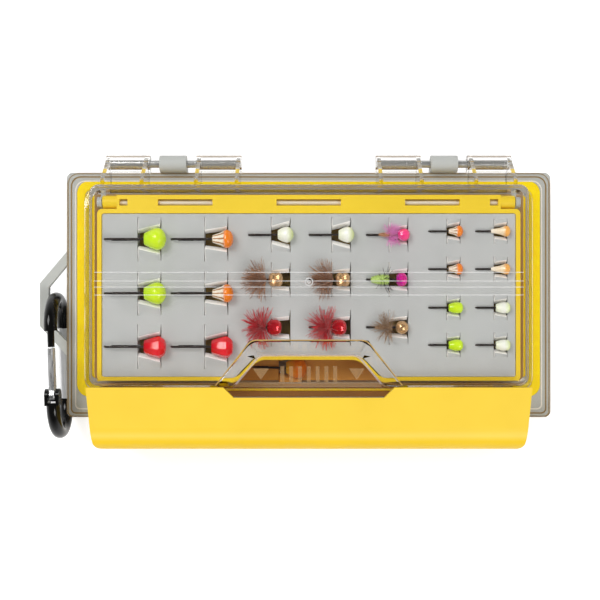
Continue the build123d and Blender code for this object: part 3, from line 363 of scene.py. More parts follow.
def yellow_plastic():
    """The latch and the leaf. The latch's roll is painted a deeper yellow as shade, with a pale band painted
    as a highlight, and the leaf's plate is painted dark olive under its foam as the shade at the bottom of
    the pockets.
    """
    finish = Finish("yellow_plastic")
    # deep is painted shade on the latch's roll, and pale is a painted highlight band where the roll meets
    # the flat face
    deep, pale = (0.97, 0.63, 0.01), (0.95, 0.69, 0.10)
    # The last colour is painted shade: dark olive on the leaf's plate, seen at the bottom of the foam's
    # pockets
    plain, leaf, pocket_shade = (0.90, 0.615, 0.045), (0.89, 0.63, 0.025), (0.27, 0.165, 0.03)
    place = finish.spread(finish.axis("Y"), SHADES_FRONT * MM, SHADES_BACK * MM, 0.0, 1.0)
    shades = finish.steps(place, ((0.0, deep), (0.2, deep), (0.275, pale), (0.34, plain), (0.9, plain),
                                  (0.96, leaf)))
    # Painted shade on the leaf's plate, within its box, goes over the painted bands
    return moulded_plastic(finish, finish.blend(finish.inside(*POCKET_SHADE_FILM), shades, pocket_shade), 0.42, 0.02)


def grey_plastic():
    """The base. Its inside walls have a painted glow: a faint warm emission that stands in for the light the
    yellow seal would bounce onto them.
    """
    finish = Finish("grey_plastic")
    # Painted glow on the inside walls, which emit warm light though they are no lamp
    glow = finish.blend(finish.inside(*BASE_INSIDE), (0.0, 0.0, 0.0), (0.20, 0.115, 0.045))
    return moulded_plastic(finish, (0.47, 0.48, 0.455), 0.5, 0.03, glow)


def clear_plastic():
    """Clear hard plastic that takes a little warm colour along a long path through it."""
    finish = Finish("clear_plastic")
    scuffs = finish.noise(2.2, 5.0, 0.75)
    rough = finish.spread(scuffs, 0.45, 0.75, 0.0, 0.04)
    glass = finish.surface(Base_Color=(0.985, 0.985, 0.98), Roughness=rough, IOR=1.5,
                           Transmission_Weight=1.0)
    through = finish.node("ShaderNodeBsdfTransparent", None, {"Color": (1.0, 1.0, 1.0)})
    lamps = finish.node("ShaderNodeLightPath", output="Is Shadow Ray")
    bounced = finish.node("ShaderNodeLightPath", output="Is Diffuse Ray")
    mix = finish.node("ShaderNodeMixShader", None,
                      {"Fac": lamps.larger(bounced), "Shader": glass, "Shader_001": through})
    volume = finish.node("ShaderNodeVolumeAbsorption", None,
                         {"Color": (0.78, 0.72, 0.66), "Density": 55.0})
    return finish.done(mix, volume)


def foam(name, colour, lit_cut_colour):
    """Closed-cell foam: pin-prick cells, soft dents and a slight cloudiness, with a painted highlight: paler
    on its cut faces, which turn up to the light.
    """
    finish = Finish(name)
    cells = finish.grains(0.42)
    dents = finish.noise(5.0, 3.0, 0.6)
    shade = finish.spread(finish.noise(14.0, 2.0), 0.3, 0.7, 0.0, 1.0)
    dark = [c * 0.9 for c in colour]
    tint = finish.blend(shade, dark, colour)
    speck = finish.spread(cells, 0.0, 0.25, 0.75, 1.0)
    tint = finish.multiply(tint, finish.steps(speck, ((0.0, (0.6,) * 3), (1.0, (1.0,) * 3))), 0.35)
    # Painted highlight: the cut faces take the paler colour, as lit faces
    tint = finish.blend(finish.attribute("cut_face"), tint, lit_cut_colour)
    height = cells * 0.25 + dents * 0.75
    return finish.done(finish.surface(Base_Color=tint, Roughness=0.85, Sheen_Weight=0.15,
                                      Normal=finish.bump(height, 0.25, 0.45)))


def soft_seal():
    """Soft yellow seal with a slightly sticky shine, painted brown at the middle of its front run as shade,
    under the thumb recess.
    """
    finish = Finish("yellow_seal")
    ripple = finish.noise(3.0, 3.0)
    tint = finish.blend(finish.spread(ripple, 0.3, 0.7, 0.0, 1.0), (0.98, 0.70, 0.0), (1.0, 0.78, 0.0))
    # Painted shade: brown on the seal's front under the thumb recess
    tint = finish.blend(finish.inside(*SHADED_SEAL_FRONT), tint, (0.36, 0.17, 0.06))
    return finish.done(finish.surface(Base_Color=tint, Roughness=0.5, Specular_IOR_Level=0.2,
                                      Normal=finish.bump(ripple, 0.06, 0.4)))


def dull_shadow_finish(name, colour):
    """A dull dark finish with faint mottling, for painted shadow lines."""
    finish = Finish(name)
    dull = finish.noise(2.0, 4.0, 0.7)
    tint = finish.blend(dull, [c * 0.8 for c in colour], colour)
    return finish.done(finish.surface(Base_Color=tint, Roughness=0.7,
                                      Normal=finish.bump(dull, 0.04, 0.4)))


def plain_metal(name, colour, roughness, metallic=1.0):
    """Bare metal with fine lengthwise scratches."""
    finish = Finish(name)
    stretched = finish.node("ShaderNodeMapping", None,
                            {"Vector": finish.place, "Scale": (1.0, 0.06, 1.0)})
    lines = finish.node("ShaderNodeTexNoise", None,
                        {"Vector": stretched, "Scale": 1.0 / (METAL_SCRATCH * MM), "Detail": 4.0})
    rough = finish.spread(lines, 0.3, 0.7, roughness * 0.7, roughness * 1.4)
    tint = finish.blend(finish.noise(4.0), [c * 0.9 for c in colour], colour)
    return finish.done(finish.surface(Base_Color=tint, Metallic=metallic, Roughness=rough,
                                      Normal=finish.bump(lines, 0.01, 0.3)))


def faint_mark():
    """Raised marks in the thumb recess, a little frosted."""
    finish = Finish("recess_mark")
    worn = finish.noise(1.5, 4.0, 0.7)
    alpha = finish.spread(worn, 0.3, 0.7, 0.2, 0.36)
    return finish.done(finish.surface(Base_Color=(0.48, 0.31, 0.15), Roughness=0.35, Alpha=alpha))


def clear_edge(name, colour, low, high):
    """Painted reflections and highlights along edges of clear plastic: see-through strips in the colour that
    the edges would reflect from what lies beside them.
    """
    finish = Finish(name)
    broken = finish.noise(7.0, 4.0, 0.7)
    alpha = finish.spread(broken, 0.3, 0.7, low, high)
    return finish.done(finish.surface(Base_Color=colour, Roughness=0.25, Alpha=alpha))


def ring_coating():
    """The carabiner: black glossy coating on its two ends, and a bare silver back between them."""
    finish = Finish("black_metal")
    chips = finish.noise(0.9, 5.0, 0.8)
    wobble = (finish.noise(1.2) - 0.5) * (0.8 * MM)
    place = finish.axis("Y") + wobble
    front, rear = BARE_BACK
    back = (place > front * MM) * (place < rear * MM) * (finish.axis("Z") < BARE_BACK_TOP * MM)
    tint = finish.blend(back, (0.004, 0.004, 0.004), (0.78, 0.78, 0.78))
    rough = finish.spread(chips, 0.35, 0.75, 0.06, 0.16)
    return finish.done(finish.surface(Base_Color=tint, Metallic=back * 0.5, Roughness=rough,
                                      Specular_IOR_Level=0.28, Normal=finish.bump(chips, 0.03, 0.15)))


def hook_finish():
    """Black nickel wire."""
    finish = Finish("hook_wire")
    stain = finish.noise(0.7, 3.0)
    tint = finish.blend(stain, (0.015, 0.013, 0.013), (0.07, 0.055, 0.05))
    return finish.done(finish.surface(Base_Color=tint, Metallic=0.6, Roughness=0.28,
                                      Normal=finish.bump(stain, 0.02, 0.3)))


def paint(name, stops, gloss=0.16, metallic=0.0, glitter=0.0, streak=None):
    """Glossy jig paint whose colour runs from the collar to the nose, with stripes on its back half."""
    finish = Finish(name)
    along = finish.attribute("along")
    drips = (finish.noise(1.1, 3.0) - 0.5) * 0.18
    tint = finish.steps(along + drips, stops)
    if glitter:
        flakes = finish.node("ShaderNodeTexVoronoi", None,
                             {"Vector": finish.place, "Scale": 1.0 / (0.25 * MM)}, "Color")
        tint = finish.node("ShaderNodeMix", {"data_type": "RGBA", "blend_type": "OVERLAY"},
                           {"Factor_Float": glitter, "A_Color": tint, "B_Color": flakes},
                           "Result_Color")
    if streak:
        across = finish.attribute("across") + (finish.noise(1.0) - 0.5) * 0.2
        lines = across.math("COSINE", across * 9.5, 0.0)
        tint = finish.blend(finish.spread(lines, 0.2, 0.8, 0.0, 1.0) * (along < 0.56), tint, streak)
    orange_peel = finish.bump(finish.noise(0.8, 2.0), 0.03, 0.35)
    return finish.done(finish.surface(Base_Color=tint, Roughness=gloss, Metallic=metallic,
                                      Coat_Weight=0.3, Coat_Roughness=0.05, Normal=orange_peel))


def feather(name, root, tip):
    """Dyed fibres, darker where they are dense."""
    finish = Finish(name)
    streak = finish.noise(0.45, 2.0)
    wide = finish.noise(2.2, 2.0)
    tint = finish.blend(finish.spread(streak * 0.6 + wide * 0.4, 0.35, 0.65, 0.0, 1.0), root, tip)
    return finish.done(finish.surface(Base_Color=tint, Roughness=0.55, Sheen_Weight=0.3,
                                      Normal=finish.bump(streak, 0.05, 0.4)))


def make_finishes():
    """Every finish of the box, by its slot."""
    orange, copper, pale = (0.93, 0.23, 0.008), (0.42, 0.17, 0.04), (0.95, 0.86, 0.72)
    lime, lime_deep = (0.66, 0.93, 0.02), (0.50, 0.78, 0.0)
    return {
        "yellow_plastic": yellow_plastic(),
        "grey_plastic": grey_plastic(),
        "clear_plastic": clear_plastic(),
        "yellow_seal": soft_seal(),
        # Each foam's second colour is the painted highlight on its cut faces
        "grey_foam": foam("grey_foam", (0.525, 0.54, 0.535), (0.93, 0.91, 0.88)),
        "brown_foam": foam("brown_foam", (0.85, 0.44, 0.11), (0.9, 0.5, 0.14)),
        # Pale plastic of the bar's rods, also used for the painted highlight line round the rim
        "rod_plastic_and_highlight": moulded_plastic(Finish("rod_plastic_and_highlight"), (0.80, 0.77, 0.70), 0.4, 0.02),
        "recess_mark": faint_mark(),
        # A dull dark finish for the painted shadow lines round the rim
        "painted_rim_shadow": dull_shadow_finish("painted_rim_shadow", (0.30, 0.20, 0.075)),
        # Painted highlight lines on the lid
        "painted_highlight_edge": clear_edge("painted_highlight_edge", (0.92, 0.92, 0.91), 0.2, 0.5),
        # Painted reflections at the thumb recess
        "amber_reflection_edge": clear_edge("amber_reflection_edge", (0.62, 0.40, 0.13), 0.45, 0.8),
        "mauve_reflection_edge": clear_edge("mauve_reflection_edge", (0.58, 0.50, 0.50), 0.25, 0.5),
        "rivet_steel": plain_metal("rivet_steel", (0.12, 0.12, 0.12), 0.25),
        "pin_steel": plain_metal("pin_steel", (0.66, 0.66, 0.64), 0.2, 0.72),
        "gate_metal": plain_metal("gate_metal", (0.78, 0.78, 0.78), 0.3),
        "black_metal": ring_coating(),
        "hook_wire": hook_finish(),
        "paint_chartreuse": paint("paint_chartreuse", ((0.0, lime_deep), (0.5, lime), (1.0, lime))),
        "paint_gold": paint("paint_gold", ((0.0, pale), (0.5, pale), (0.6, orange)), 0.2, streak=copper),
        "paint_red": paint("paint_red", ((0.0, (0.55, 0.0, 0.01)), (0.5, (0.85, 0.01, 0.02))), 0.1),
        "paint_glow": paint("paint_glow", ((0.0, (0.90, 0.94, 0.72)), (0.55, (0.96, 0.98, 0.90)),
                                           (1.0, (0.72, 0.85, 0.30))), 0.25),
        "paint_pink": paint("paint_pink", ((0.0, (0.85, 0.02, 0.25)), (0.6, (1.0, 0.06, 0.25))), 0.2),
        "paint_magenta": paint("paint_magenta", ((0.0, (0.5, 0.0, 0.3)), (0.7, (0.85, 0.02, 0.35))),
                               0.2, 0.3, 0.6),
        "paint_cream": paint("paint_cream", ((0.0, pale), (0.6, (0.95, 0.75, 0.48)),
                                             (0.75, (0.95, 0.45, 0.1)))),
        "paint_orange": paint("paint_orange", ((0.0, (0.8, 0.5, 0.05)), (0.5, orange))),
        "bead_gold": plain_metal("bead_gold", (0.80, 0.50, 0.25), 0.3, 0.8),
        "bead_red": paint("bead_red", ((0.0, (0.42, 0.0, 0.01)), (0.6, (0.62, 0.01, 0.02))),
                          0.12, 0.35, 0.5),
        "feather_pink": feather("feather_pink", (0.98, 0.20, 0.68), (1.0, 0.50, 0.90)),
        "feather_brown": feather("feather_brown", (0.22, 0.075, 0.03), (0.58, 0.29, 0.14)),
        "feather_red": feather("feather_red", (0.42, 0.003, 0.008), (0.92, 0.015, 0.03)),
        "feather_tan": feather("feather_tan", (0.22, 0.11, 0.05), (0.55, 0.34, 0.18)),
        "body_green": feather("body_green", (0.28, 0.44, 0.06), (0.58, 0.78, 0.22)),
    }


# Mesh helpers

def make_piece(name, mesh, finish, body, replaced=()):
    """A finished mesh as a piece that rides on a body."""
    mesh.materials.clear()
    mesh.materials.append(finish)
    obj = bpy.data.objects.new(name, mesh)
    bpy.context.scene.collection.objects.link(obj)
    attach(obj, body)
    if replaced:
        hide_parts(*replaced)
    return obj


def merged_copy(node):
    """A CAD node's mesh as one joined surface."""
    work = bmesh.new()
    work.from_mesh(frame["nodes"][node].data)
    bmesh.ops.remove_doubles(work, verts=work.verts, dist=1e-6)
    return work


def islands(work):
    """The points of each separate solid."""
    left = set(work.verts)
    while left:
        todo = [left.pop()]
        found = []
        while todo:
            vert = todo.pop()
            found.append(vert)
            for edge in vert.link_edges:
                other = edge.other_vert(vert)
                if other in left:
                    left.discard(other)
                    todo.append(other)
        yield found


def solids_of(node):
    """The lowest and highest corner of each solid of a node, in metres."""
    work = merged_copy(node)
    boxes = [[Vector(pick(vert.co[i] for vert in verts) for i in range(3)) for pick in (min, max)]
             for verts in islands(work)]
    work.free()
    return sorted(boxes, key=lambda box: (round(box[0].x, 4), round(box[0].y, 4)))


def node_body(node):
    """The CAD body that a node rides on."""
    return body_of(frame["nodes"][node])[0]


def dressed(node, finish, bevel_mm, segments, reshape):
    """A node's own shape with its flat faces whole again, softened edges and smooth curves."""
    work = merged_copy(node)
    bmesh.ops.dissolve_limit(work, angle_limit=math.radians(0.5), verts=work.verts, edges=work.edges)
    if reshape:
        reshape(work)
    mesh = bpy.data.meshes.new(node + "_dressed")
    work.to_mesh(mesh)
    work.free()
    mesh.polygons.foreach_set("use_smooth", [True] * len(mesh.polygons))
    mesh.set_sharp_from_angle(angle=math.radians(SMOOTH_BELOW))
    obj = make_piece(node + "_dressed", mesh, finish, node_body(node), [node])
    if bevel_mm:
        bevel = obj.modifiers.new("softened edges", "BEVEL")
        bevel.width = bevel_mm * MM
        bevel.segments = segments
        bevel.limit_method = "ANGLE"
        bevel.angle_limit = math.radians(SMOOTH_BELOW)
        bevel.use_clamp_overlap = True
        shade_evenly(obj)


def shade_evenly(obj):
    """Keeps large flat faces flat in shading, beside their softened edges."""
    even = obj.modifiers.new("even shading", "WEIGHTED_NORMAL")
    even.keep_sharp = True
    even.weight = 100


def upright_edges(work, across, along, least_rise, least_turn):
    """Edges that stand up within a patch at both sides of the middle, at corners of some sharpness."""
    found = []
    for edge in work.edges:
        a, b = (vert.co / MM for vert in edge.verts)
        near = all(across[0] < abs(p.x) < across[1] and along[0] < p.y < along[1] for p in (a, b))
        sharp = edge.calc_face_angle(0.0) > math.radians(least_turn)
        if near and sharp and a.x * b.x > 0 and abs(a.z - b.z) > least_rise:
            found.append(edge)
    return found


def round_recess(work):
    """Rounds the corners of the thumb recess, and of the cut-out under it."""
    low, high = LID_UNDERSIDE
    corners = [edge for edge in upright_edges(work, RECESS_CORNERS_X, RECESS_CORNERS_Y, 5.0, 30.0)
               if not low < min(vert.co.z for vert in edge.verts) / MM < high]
    round_edges(work, corners, RECESS_CORNER)


def round_latch(work):
    """Rounds the back corners of the latch."""
    corners = upright_edges(work, LATCH_CORNERS_X, LATCH_CORNERS_Y, 3.0, 60.0)
    round_edges(work, corners, LATCH_CORNER)


def round_edges(work, edges, radius):
    """Rounds some edges to a radius in millimetres."""
    bmesh.ops.bevel(work, geom=edges, offset=radius * MM, offset_type="OFFSET", segments=5,
                    profile=0.5, affect="EDGES", clamp_overlap=False)


def lengthen_shanks(work):
    """Draws the large hooks' shanks out towards the bend."""
    for verts in list(islands(work)):
        front = max(vert.co.x for vert in verts)
        for vert in verts:
            if vert.co.x < front - SHANK_STEP * MM:
                vert.co.x -= SHANK_EXTRA * MM


def smooth_line(points, steps):
    """A smooth line through points, as more points between each two."""
    first, last = points[0], points[-1]
    padded = [first, *points, last]
    line = []
    for i in range(1, len(padded) - 2):
        a, b, c, d = padded[i - 1:i + 3]
        for step in range(steps):
            t = step / steps
            line.append(tuple(
                0.5 * (2 * q + (r - p) * t + (2 * p - 5 * q + 4 * r - s) * t * t
                       + (3 * q - p - 3 * r + s) * t ** 3)
                for p, q, r, s in zip(a, b, c, d)))
    line.append(tuple(last))
    return line


def turn_round_x(work, profile, middle, sides, spin=0.0):
    """A closed turned shape along X from (x, radius) pairs, from the collar to the nose."""
    along = work.verts.layers.float.get("along") or work.verts.layers.float.new("along")
    across = work.verts.layers.float.get("across") or work.verts.layers.float.new("across")
    start, length = profile[0][0], profile[-1][0] - profile[0][0]
    rings = []
    for x, radius in profile:
        if radius < 1e-6:
            ring = [work.verts.new(middle + Vector((x, 0, 0)) * MM)]
        else:
            ring = []
            for i in range(sides):
                angle = math.tau * i / sides + spin
                ring.append(work.verts.new(
                    middle + Vector((x, radius * math.cos(angle), radius * math.sin(angle))) * MM))
        for vert in ring:
            vert[along] = (x - start) / length
            vert[across] = (vert.co.y - middle.y) / (max(radius, 0.1) * MM)
        rings.append(ring)
    for near, far in zip(rings, rings[1:]):
        for i in range(sides):
            j = (i + 1) % sides
            corners = [near[i % len(near)], near[j % len(near)], far[j % len(far)], far[i % len(far)]]
            corners = list(dict.fromkeys(corners))
            if len(corners) > 2:
                work.faces.new(corners)
    for ring in (rings[0], rings[-1]):
        if len(ring) > 1:
            work.faces.new(ring)


def finish_mesh(work, name, smooth=True, sharp=None):
    """A mesh from a bmesh, with its normals outwards."""
    bmesh.ops.recalc_face_normals(work, faces=work.faces)
    mesh = bpy.data.meshes.new(name)
    work.to_mesh(mesh)
    work.free()
    mesh.polygons.foreach_set("use_smooth", [smooth] * len(mesh.polygons))
    if sharp is not None:
        mesh.set_sharp_from_angle(angle=math.radians(sharp))
    return mesh


# Jig heads: (x, radius) from the collar to the nose, in millimetres from the head's middle

HEADS = {
    "pear": ((-4.0, 0.0), (-4.0, 2.3), (-3.6, 2.55), (-2.0, 3.35), (-0.2, 4.1), (1.2, 4.3), (2.6, 3.85),
             (3.7, 2.6), (4.25, 1.1), (4.4, 0.0)),
    "gem": ((-4.0, 0.0), (-4.0, 2.5), (-3.4, 2.9), (1.0, 4.25), (2.4, 4.1), (3.9, 2.7), (4.3, 1.3),
            (4.4, 0.0)),
    "cone": ((-3.7, 0.0), (-3.7, 1.35), (-3.2, 1.6), (-0.6, 2.5), (1.0, 3.35), (2.4, 3.5), (3.6, 2.6),
             (4.25, 1.2), (4.4, 0.0)),
    "bulb": ((-2.9, 0.0), (-2.9, 1.6), (-2.6, 1.85), (-1.2, 2.6), (0.5, 3.1), (1.7, 2.85), (2.7, 1.8),
             (3.1, 0.8), (3.2, 0.0)),
    "bead": ((-2.9, 0.0), (-2.9, 1.2), (-2.6, 2.0), (-1.5, 2.9), (0.0, 3.15), (1.5, 2.8), (2.5, 1.9),
             (2.8, 1.0), (2.8, 0.0)),
    "cut_bead": ((-2.7, 0.0), (-2.7, 1.4), (-2.2, 2.3), (-1.3, 2.8), (-0.4, 2.6), (0.0, 2.3), (0.4, 2.6),
                 (1.3, 2.8), (2.2, 2.3), (2.7, 1.4), (2.7, 0.0)),
    "short_bead": ((-2.0, 0.0), (-2.0, 1.6), (-1.2, 2.5), (0.2, 2.75), (1.3, 2.35), (2.0, 1.4), (2.0, 0.0)),
    "ball": ((-2.4, 0.0), (-2.4, 0.9), (-1.9, 1.7), (-0.8, 2.4), (0.4, 2.45), (1.5, 2.0), (2.3, 1.1),
             (2.4, 0.0)),
    "berry": ((-1.9, 0.0), (-1.9, 1.3), (-1.1, 2.0), (0.4, 2.4), (1.8, 2.15), (2.6, 1.2), (2.8, 0.0)),
    "drop": ((-2.7, 0.0), (-2.7, 0.75), (-2.3, 0.95), (-0.7, 1.35), (0.5, 2.0), (1.5, 2.2), (2.3, 1.75),
             (2.8, 0.8), (2.9, 0.0)),
    "long_drop": ((-4.6, 0.0), (-4.6, 0.55), (-4.0, 0.8), (-1.2, 1.3), (0.5, 1.95), (1.5, 2.15),
                  (2.3, 1.75), (2.8, 0.8), (2.9, 0.0)),
    "stub": ((-2.7, 0.0), (-2.7, 1.35), (-2.3, 1.6), (-0.6, 2.1), (0.8, 2.2), (2.0, 2.0), (2.7, 1.3),
             (2.9, 0.0)),
}
HEAD_KINDS = {
    "heads_chartreuse": ("pear", 40, 3, None), "heads_gold_orange": ("cone", 40, 3, None),
    "heads_red": ("gem", 9, 2, 18), "heads_glow": ("bulb", 32, 3, None),
    "head_pink": ("berry", 9, 2, 14), "beads_gold": ("cut_bead", 10, 1, 12),
    "head_magenta": ("short_bead", 10, 1, 12), "beads_red": ("bead", 11, 2, 14),
    "bead_brass": ("ball", 28, 3, None), "small_heads_orange": ("drop", 28, 3, None),
    "small_heads_cream": ("long_drop", 28, 3, None), "small_heads_chartreuse": ("stub", 28, 3, None),
    "small_heads_glow": ("stub", 28, 3, None), "base_heads_orange": ("pear", 40, 3, None),
    "base_heads_green": ("pear", 40, 3, None),
}

# Beads that sit further back in their pockets than their solids, with their hackles
JIG_SHIFTS = {"beads_gold": (-4.2, -1.8), "beads_red": (-4.6, -3.0), "hackles_brown": (-4.2, -1.8),
              "hackles_red": (-4.6, -3.0), "insect_body_green": (-2.6,), "head_magenta": (-2.0,),
              "bead_brass": (-1.4,), "head_pink": (-0.8,), "hackle_tan": (-1.4,)}


def jig_shift(node, i):
    """How far a jig's own piece is moved along X, in metres."""
    return JIG_SHIFTS[node][i] * MM if node in JIG_SHIFTS else 0.0


def slot_of(node):
    """The material slot that the record gives a node."""
    return next(part["material_slot"] for part in frame["record"]["subparts"] if part["node"] == node)


def head_middle(box):
    """A CAD head's middle: its nose and collar aren't the same distance from it."""
    low, high = box
    return Vector((high.x - (high.y - low.y) / 2, (low.y + high.y) / 2, (low.z + high.z) / 2))


def add_heads(finishes):
    """Painted heads, each with its own outline, one piece for each kind."""
    for node, (shape, sides, steps, sharp) in HEAD_KINDS.items():
        work = bmesh.new()
        profile = HEADS[shape]
        curved = [profile[0], *smooth_line(profile[1:-1], steps), profile[-1]]
        for i, (low, high) in enumerate(solids_of(node)):
            nose = profile[-1][0] * MM - jig_shift(node, i)
            middle = Vector((high.x - nose, (low.y + high.y) / 2, (low.z + high.z) / 2))
            turn_round_x(work, curved, middle, sides, math.pi / sides)
        mesh = finish_mesh(work, node + "_painted", True, sharp)
        slot = slot_of(node)
        finish = finishes["bead_red" if node == "beads_red" else slot]
        make_piece(node + "_painted", mesh, finish, node_body(node), [node])


# Foam pads with a flap pair at each jig

def box_into(work, low, high):
    """A closed box in millimetres."""
    corners = [work.verts.new(Vector((x, y, z)) * MM)
               for x in (low[0], high[0]) for y in (low[1], high[1]) for z in (low[2], high[2])]
    for face in ((0, 1, 3, 2), (4, 6, 7, 5), (0, 4, 5, 1), (2, 3, 7, 6), (0, 2, 6, 4), (1, 5, 7, 3)):
        work.faces.new([corners[i] for i in face])


def flap_section(pocket, side, share, top):
    """A flap's outline across the jig, at a share of the way from the left slit to the right one."""
    inner = pocket["inner"][0] + (pocket["inner"][1] - pocket["inner"][0]) * share
    edge = pocket["edge"][0] + (pocket["edge"][1] - pocket["edge"][0]) * share
    rise = pocket["rise"] * (0.55 + 0.45 * share)
    fold = pocket["fold"]
    points = []
    for i in range(FLAP_ROWS + 1):
        t = i / FLAP_ROWS
        ease = t * t * (3 - 2 * t)
        points.append((fold + (edge - fold) * t, rise * ease))
    points.append((edge - 0.35 * (edge - inner), rise - 0.35))
    points.append((inner + 0.1, rise - 1.5))
    points.append((inner, rise - 2.4))
    points.append((inner + 0.8, rise - FLAP_THICK))
    points.append((fold + 0.1, -FLAP_THICK))
    return [(side * y, top + z) for y, z in points]


def add_flap(work, middle, pocket, side, top):
    """One foam flap, pushed up and aside by the head, as a closed solid whose cut faces are marked for a
    paler painted highlight.
    """
    cut_face = work.faces.layers.float.get("cut_face") or work.faces.layers.float.new("cut_face")
    stations = 9
    left, right = pocket["left"], pocket["right"]
    rings = []
    for i in range(-1, stations + 1):
        share = max(i, 0) / stations
        section = flap_section(pocket, side, share, top)
        ring = []
        for y, z in section:
            open_by = max(0.0, pocket["fold"] - abs(y)) / pocket["fold"]
            x = left + LEFT_GAP + LEFT_SLOPE + (right - left - LEFT_GAP - LEFT_SLOPE) * share
            x -= (RIGHT_GAP + RIGHT_OPEN * open_by) * share
            if i < 0:
                x -= LEFT_SLOPE
                z -= LEFT_DROP
            ring.append(work.verts.new(Vector((middle.x / MM + x, middle.y / MM + y, z)) * MM))
        rings.append(ring)
    count = len(rings[0])
    for k, (near, far) in enumerate(zip(rings, rings[1:])):
        for i in range(count):
            j = (i + 1) % count
            face = work.faces.new((near[i], near[j], far[j], far[i]))
            # The cut faces, the left slope among them, are marked for the painted highlight
            face[cut_face] = 1.0 if FLAP_ROWS <= i < FLAP_ROWS + 3 or k == 0 else 0.0
    for ring in (rings[0], rings[-1]):
        work.faces.new(ring)[cut_face] = 1.0


def foam_pad(name, node, finish, outline, jigs):
    """A foam pad from its outline, cut through at each jig and with a flap pair beside each head."""
    low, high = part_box(node)
    top, bottom = high.z / MM, low.z / MM
    slab = bmesh.new()
    ring = [slab.verts.new(Vector((x, y, bottom)) * MM) for x, y in outline]
    face = slab.faces.new(ring)
    grown = bmesh.ops.extrude_face_region(slab, geom=[face])
    for vert in [g for g in grown["geom"] if isinstance(g, bmesh.types.BMVert)]:
        vert.co.z = top * MM
    slab_mesh = finish_mesh(slab, name)
    cutter = bmesh.new()
    for middle, pocket, shank, wire in jigs:
        x, y = middle.x / MM, middle.y / MM
        box_into(cutter, (x + pocket["left"], y - pocket["fold"], bottom - 1),
                 (x + pocket["right"], y + pocket["fold"], top + 4))
        box_into(cutter, (x + pocket["left"] - shank, y - wire, top - 5.0),
                 (x + pocket["left"] + 1, y + wire, top + 4.1))
    cutter_mesh = finish_mesh(cutter, name + "_cuts")
    pad = bpy.data.objects.new(name + "_work", slab_mesh)
    cuts = bpy.data.objects.new(name + "_cuts", cutter_mesh)
    for obj in (pad, cuts):
        bpy.context.scene.collection.objects.link(obj)
    soft = pad.modifiers.new("soft edge", "BEVEL")
    soft.width = FOAM_EDGE * MM
    soft.segments = 3
    cut = pad.modifiers.new("pockets", "BOOLEAN")
    cut.object = cuts
    cut.solver = "EXACT"
    cut.use_self = True
    graph = bpy.context.evaluated_depsgraph_get()
    whole = bpy.data.meshes.new_from_object(pad.evaluated_get(graph))
    for obj in (pad, cuts):
        bpy.data.objects.remove(obj)
    work = bmesh.new()
    work.from_mesh(whole)
    for middle, pocket, _, _ in jigs:
        for side in (-1, 1):
            add_flap(work, middle, pocket, side, top)
    mesh = finish_mesh(work, name, True, 40)
    piece = make_piece(name, mesh, finish, node_body(node), [node])
    shade_evenly(piece)


def corner_arc(before, corner, after):
    """A corner rounded as the thumb recess is: an even curve between two points beside it."""
    start, middle, end = Vector(before), Vector(corner), Vector(after)
    a = middle + (start - middle).normalized() * RECESS_CORNER
    b = middle + (end - middle).normalized() * RECESS_CORNER
    points = []
    for i in range(6):
        t = i / 5
        points.append(tuple(a * (1 - t) ** 2 + middle * (2 * t * (1 - t)) + b * t * t))
    return points


def jigs_of(nodes, pocket, shank, wire):
    """Every head's middle with its pocket, and its hook's slit."""
    found = []
    for node in nodes:
        for box in solids_of(node):
            found.append((head_middle(box), pocket, shank, wire))
    return found


def foam_sides(node):
    """Left, right, front and back of a pad that reaches to the walls round it."""
    low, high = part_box(node)
    return (low.x / MM - FOAM_REACH, high.x / MM + FOAM_REACH,
            low.y / MM - FOAM_REACH, high.y / MM + FOAM_REACH)


def add_foam(finish, lower_finish):
    """The leaf's pad and the base's pad."""
    left, right, front, back = foam_sides("leaf_foam")
    cut = [(LEAF_CUT_FRONT_HALF, front), (LEAF_CUT_BACK_HALF, LEAF_CUT_BACK),
           (-LEAF_CUT_BACK_HALF, LEAF_CUT_BACK), (-LEAF_CUT_FRONT_HALF, front)]
    cut = [cut[0], *corner_arc(*cut[0:3]), *corner_arc(*cut[1:4]), cut[3]]
    outline = [(left, front), (left, back), (right, back), (right, front), *cut]
    jigs = jigs_of(("heads_chartreuse", "heads_red"), LARGE_POCKET, 10.3, 0.6)
    jigs += jigs_of(("heads_gold_orange",), CONE_POCKET, 10.3, 0.6)
    jigs += jigs_of(("heads_glow",), MEDIUM_POCKET, 8.7, 0.5)
    jigs += jigs_of(("beads_gold", "head_magenta", "beads_red", "bead_brass"), BEAD_POCKET, 8.7, 0.5)
    jigs += jigs_of(("head_pink",), BERRY_POCKET, 8.7, 0.5)
    jigs += jigs_of(("small_heads_orange", "small_heads_cream", "small_heads_chartreuse",
                     "small_heads_glow"), SMALL_POCKET, 6.5, 0.45)
    foam_pad("leaf_foam_pad", "leaf_foam", finish, outline, jigs)
    left, right, front, back = foam_sides("base_foam")
    outline = [(left, front), (left, back), (right, back), (right, front)]
    jigs = jigs_of(("base_heads_orange", "base_heads_green"), LARGE_POCKET, 10.3, 0.6)
    foam_pad("base_foam_pad", "base_foam", lower_finish, outline, jigs)


# Fibres

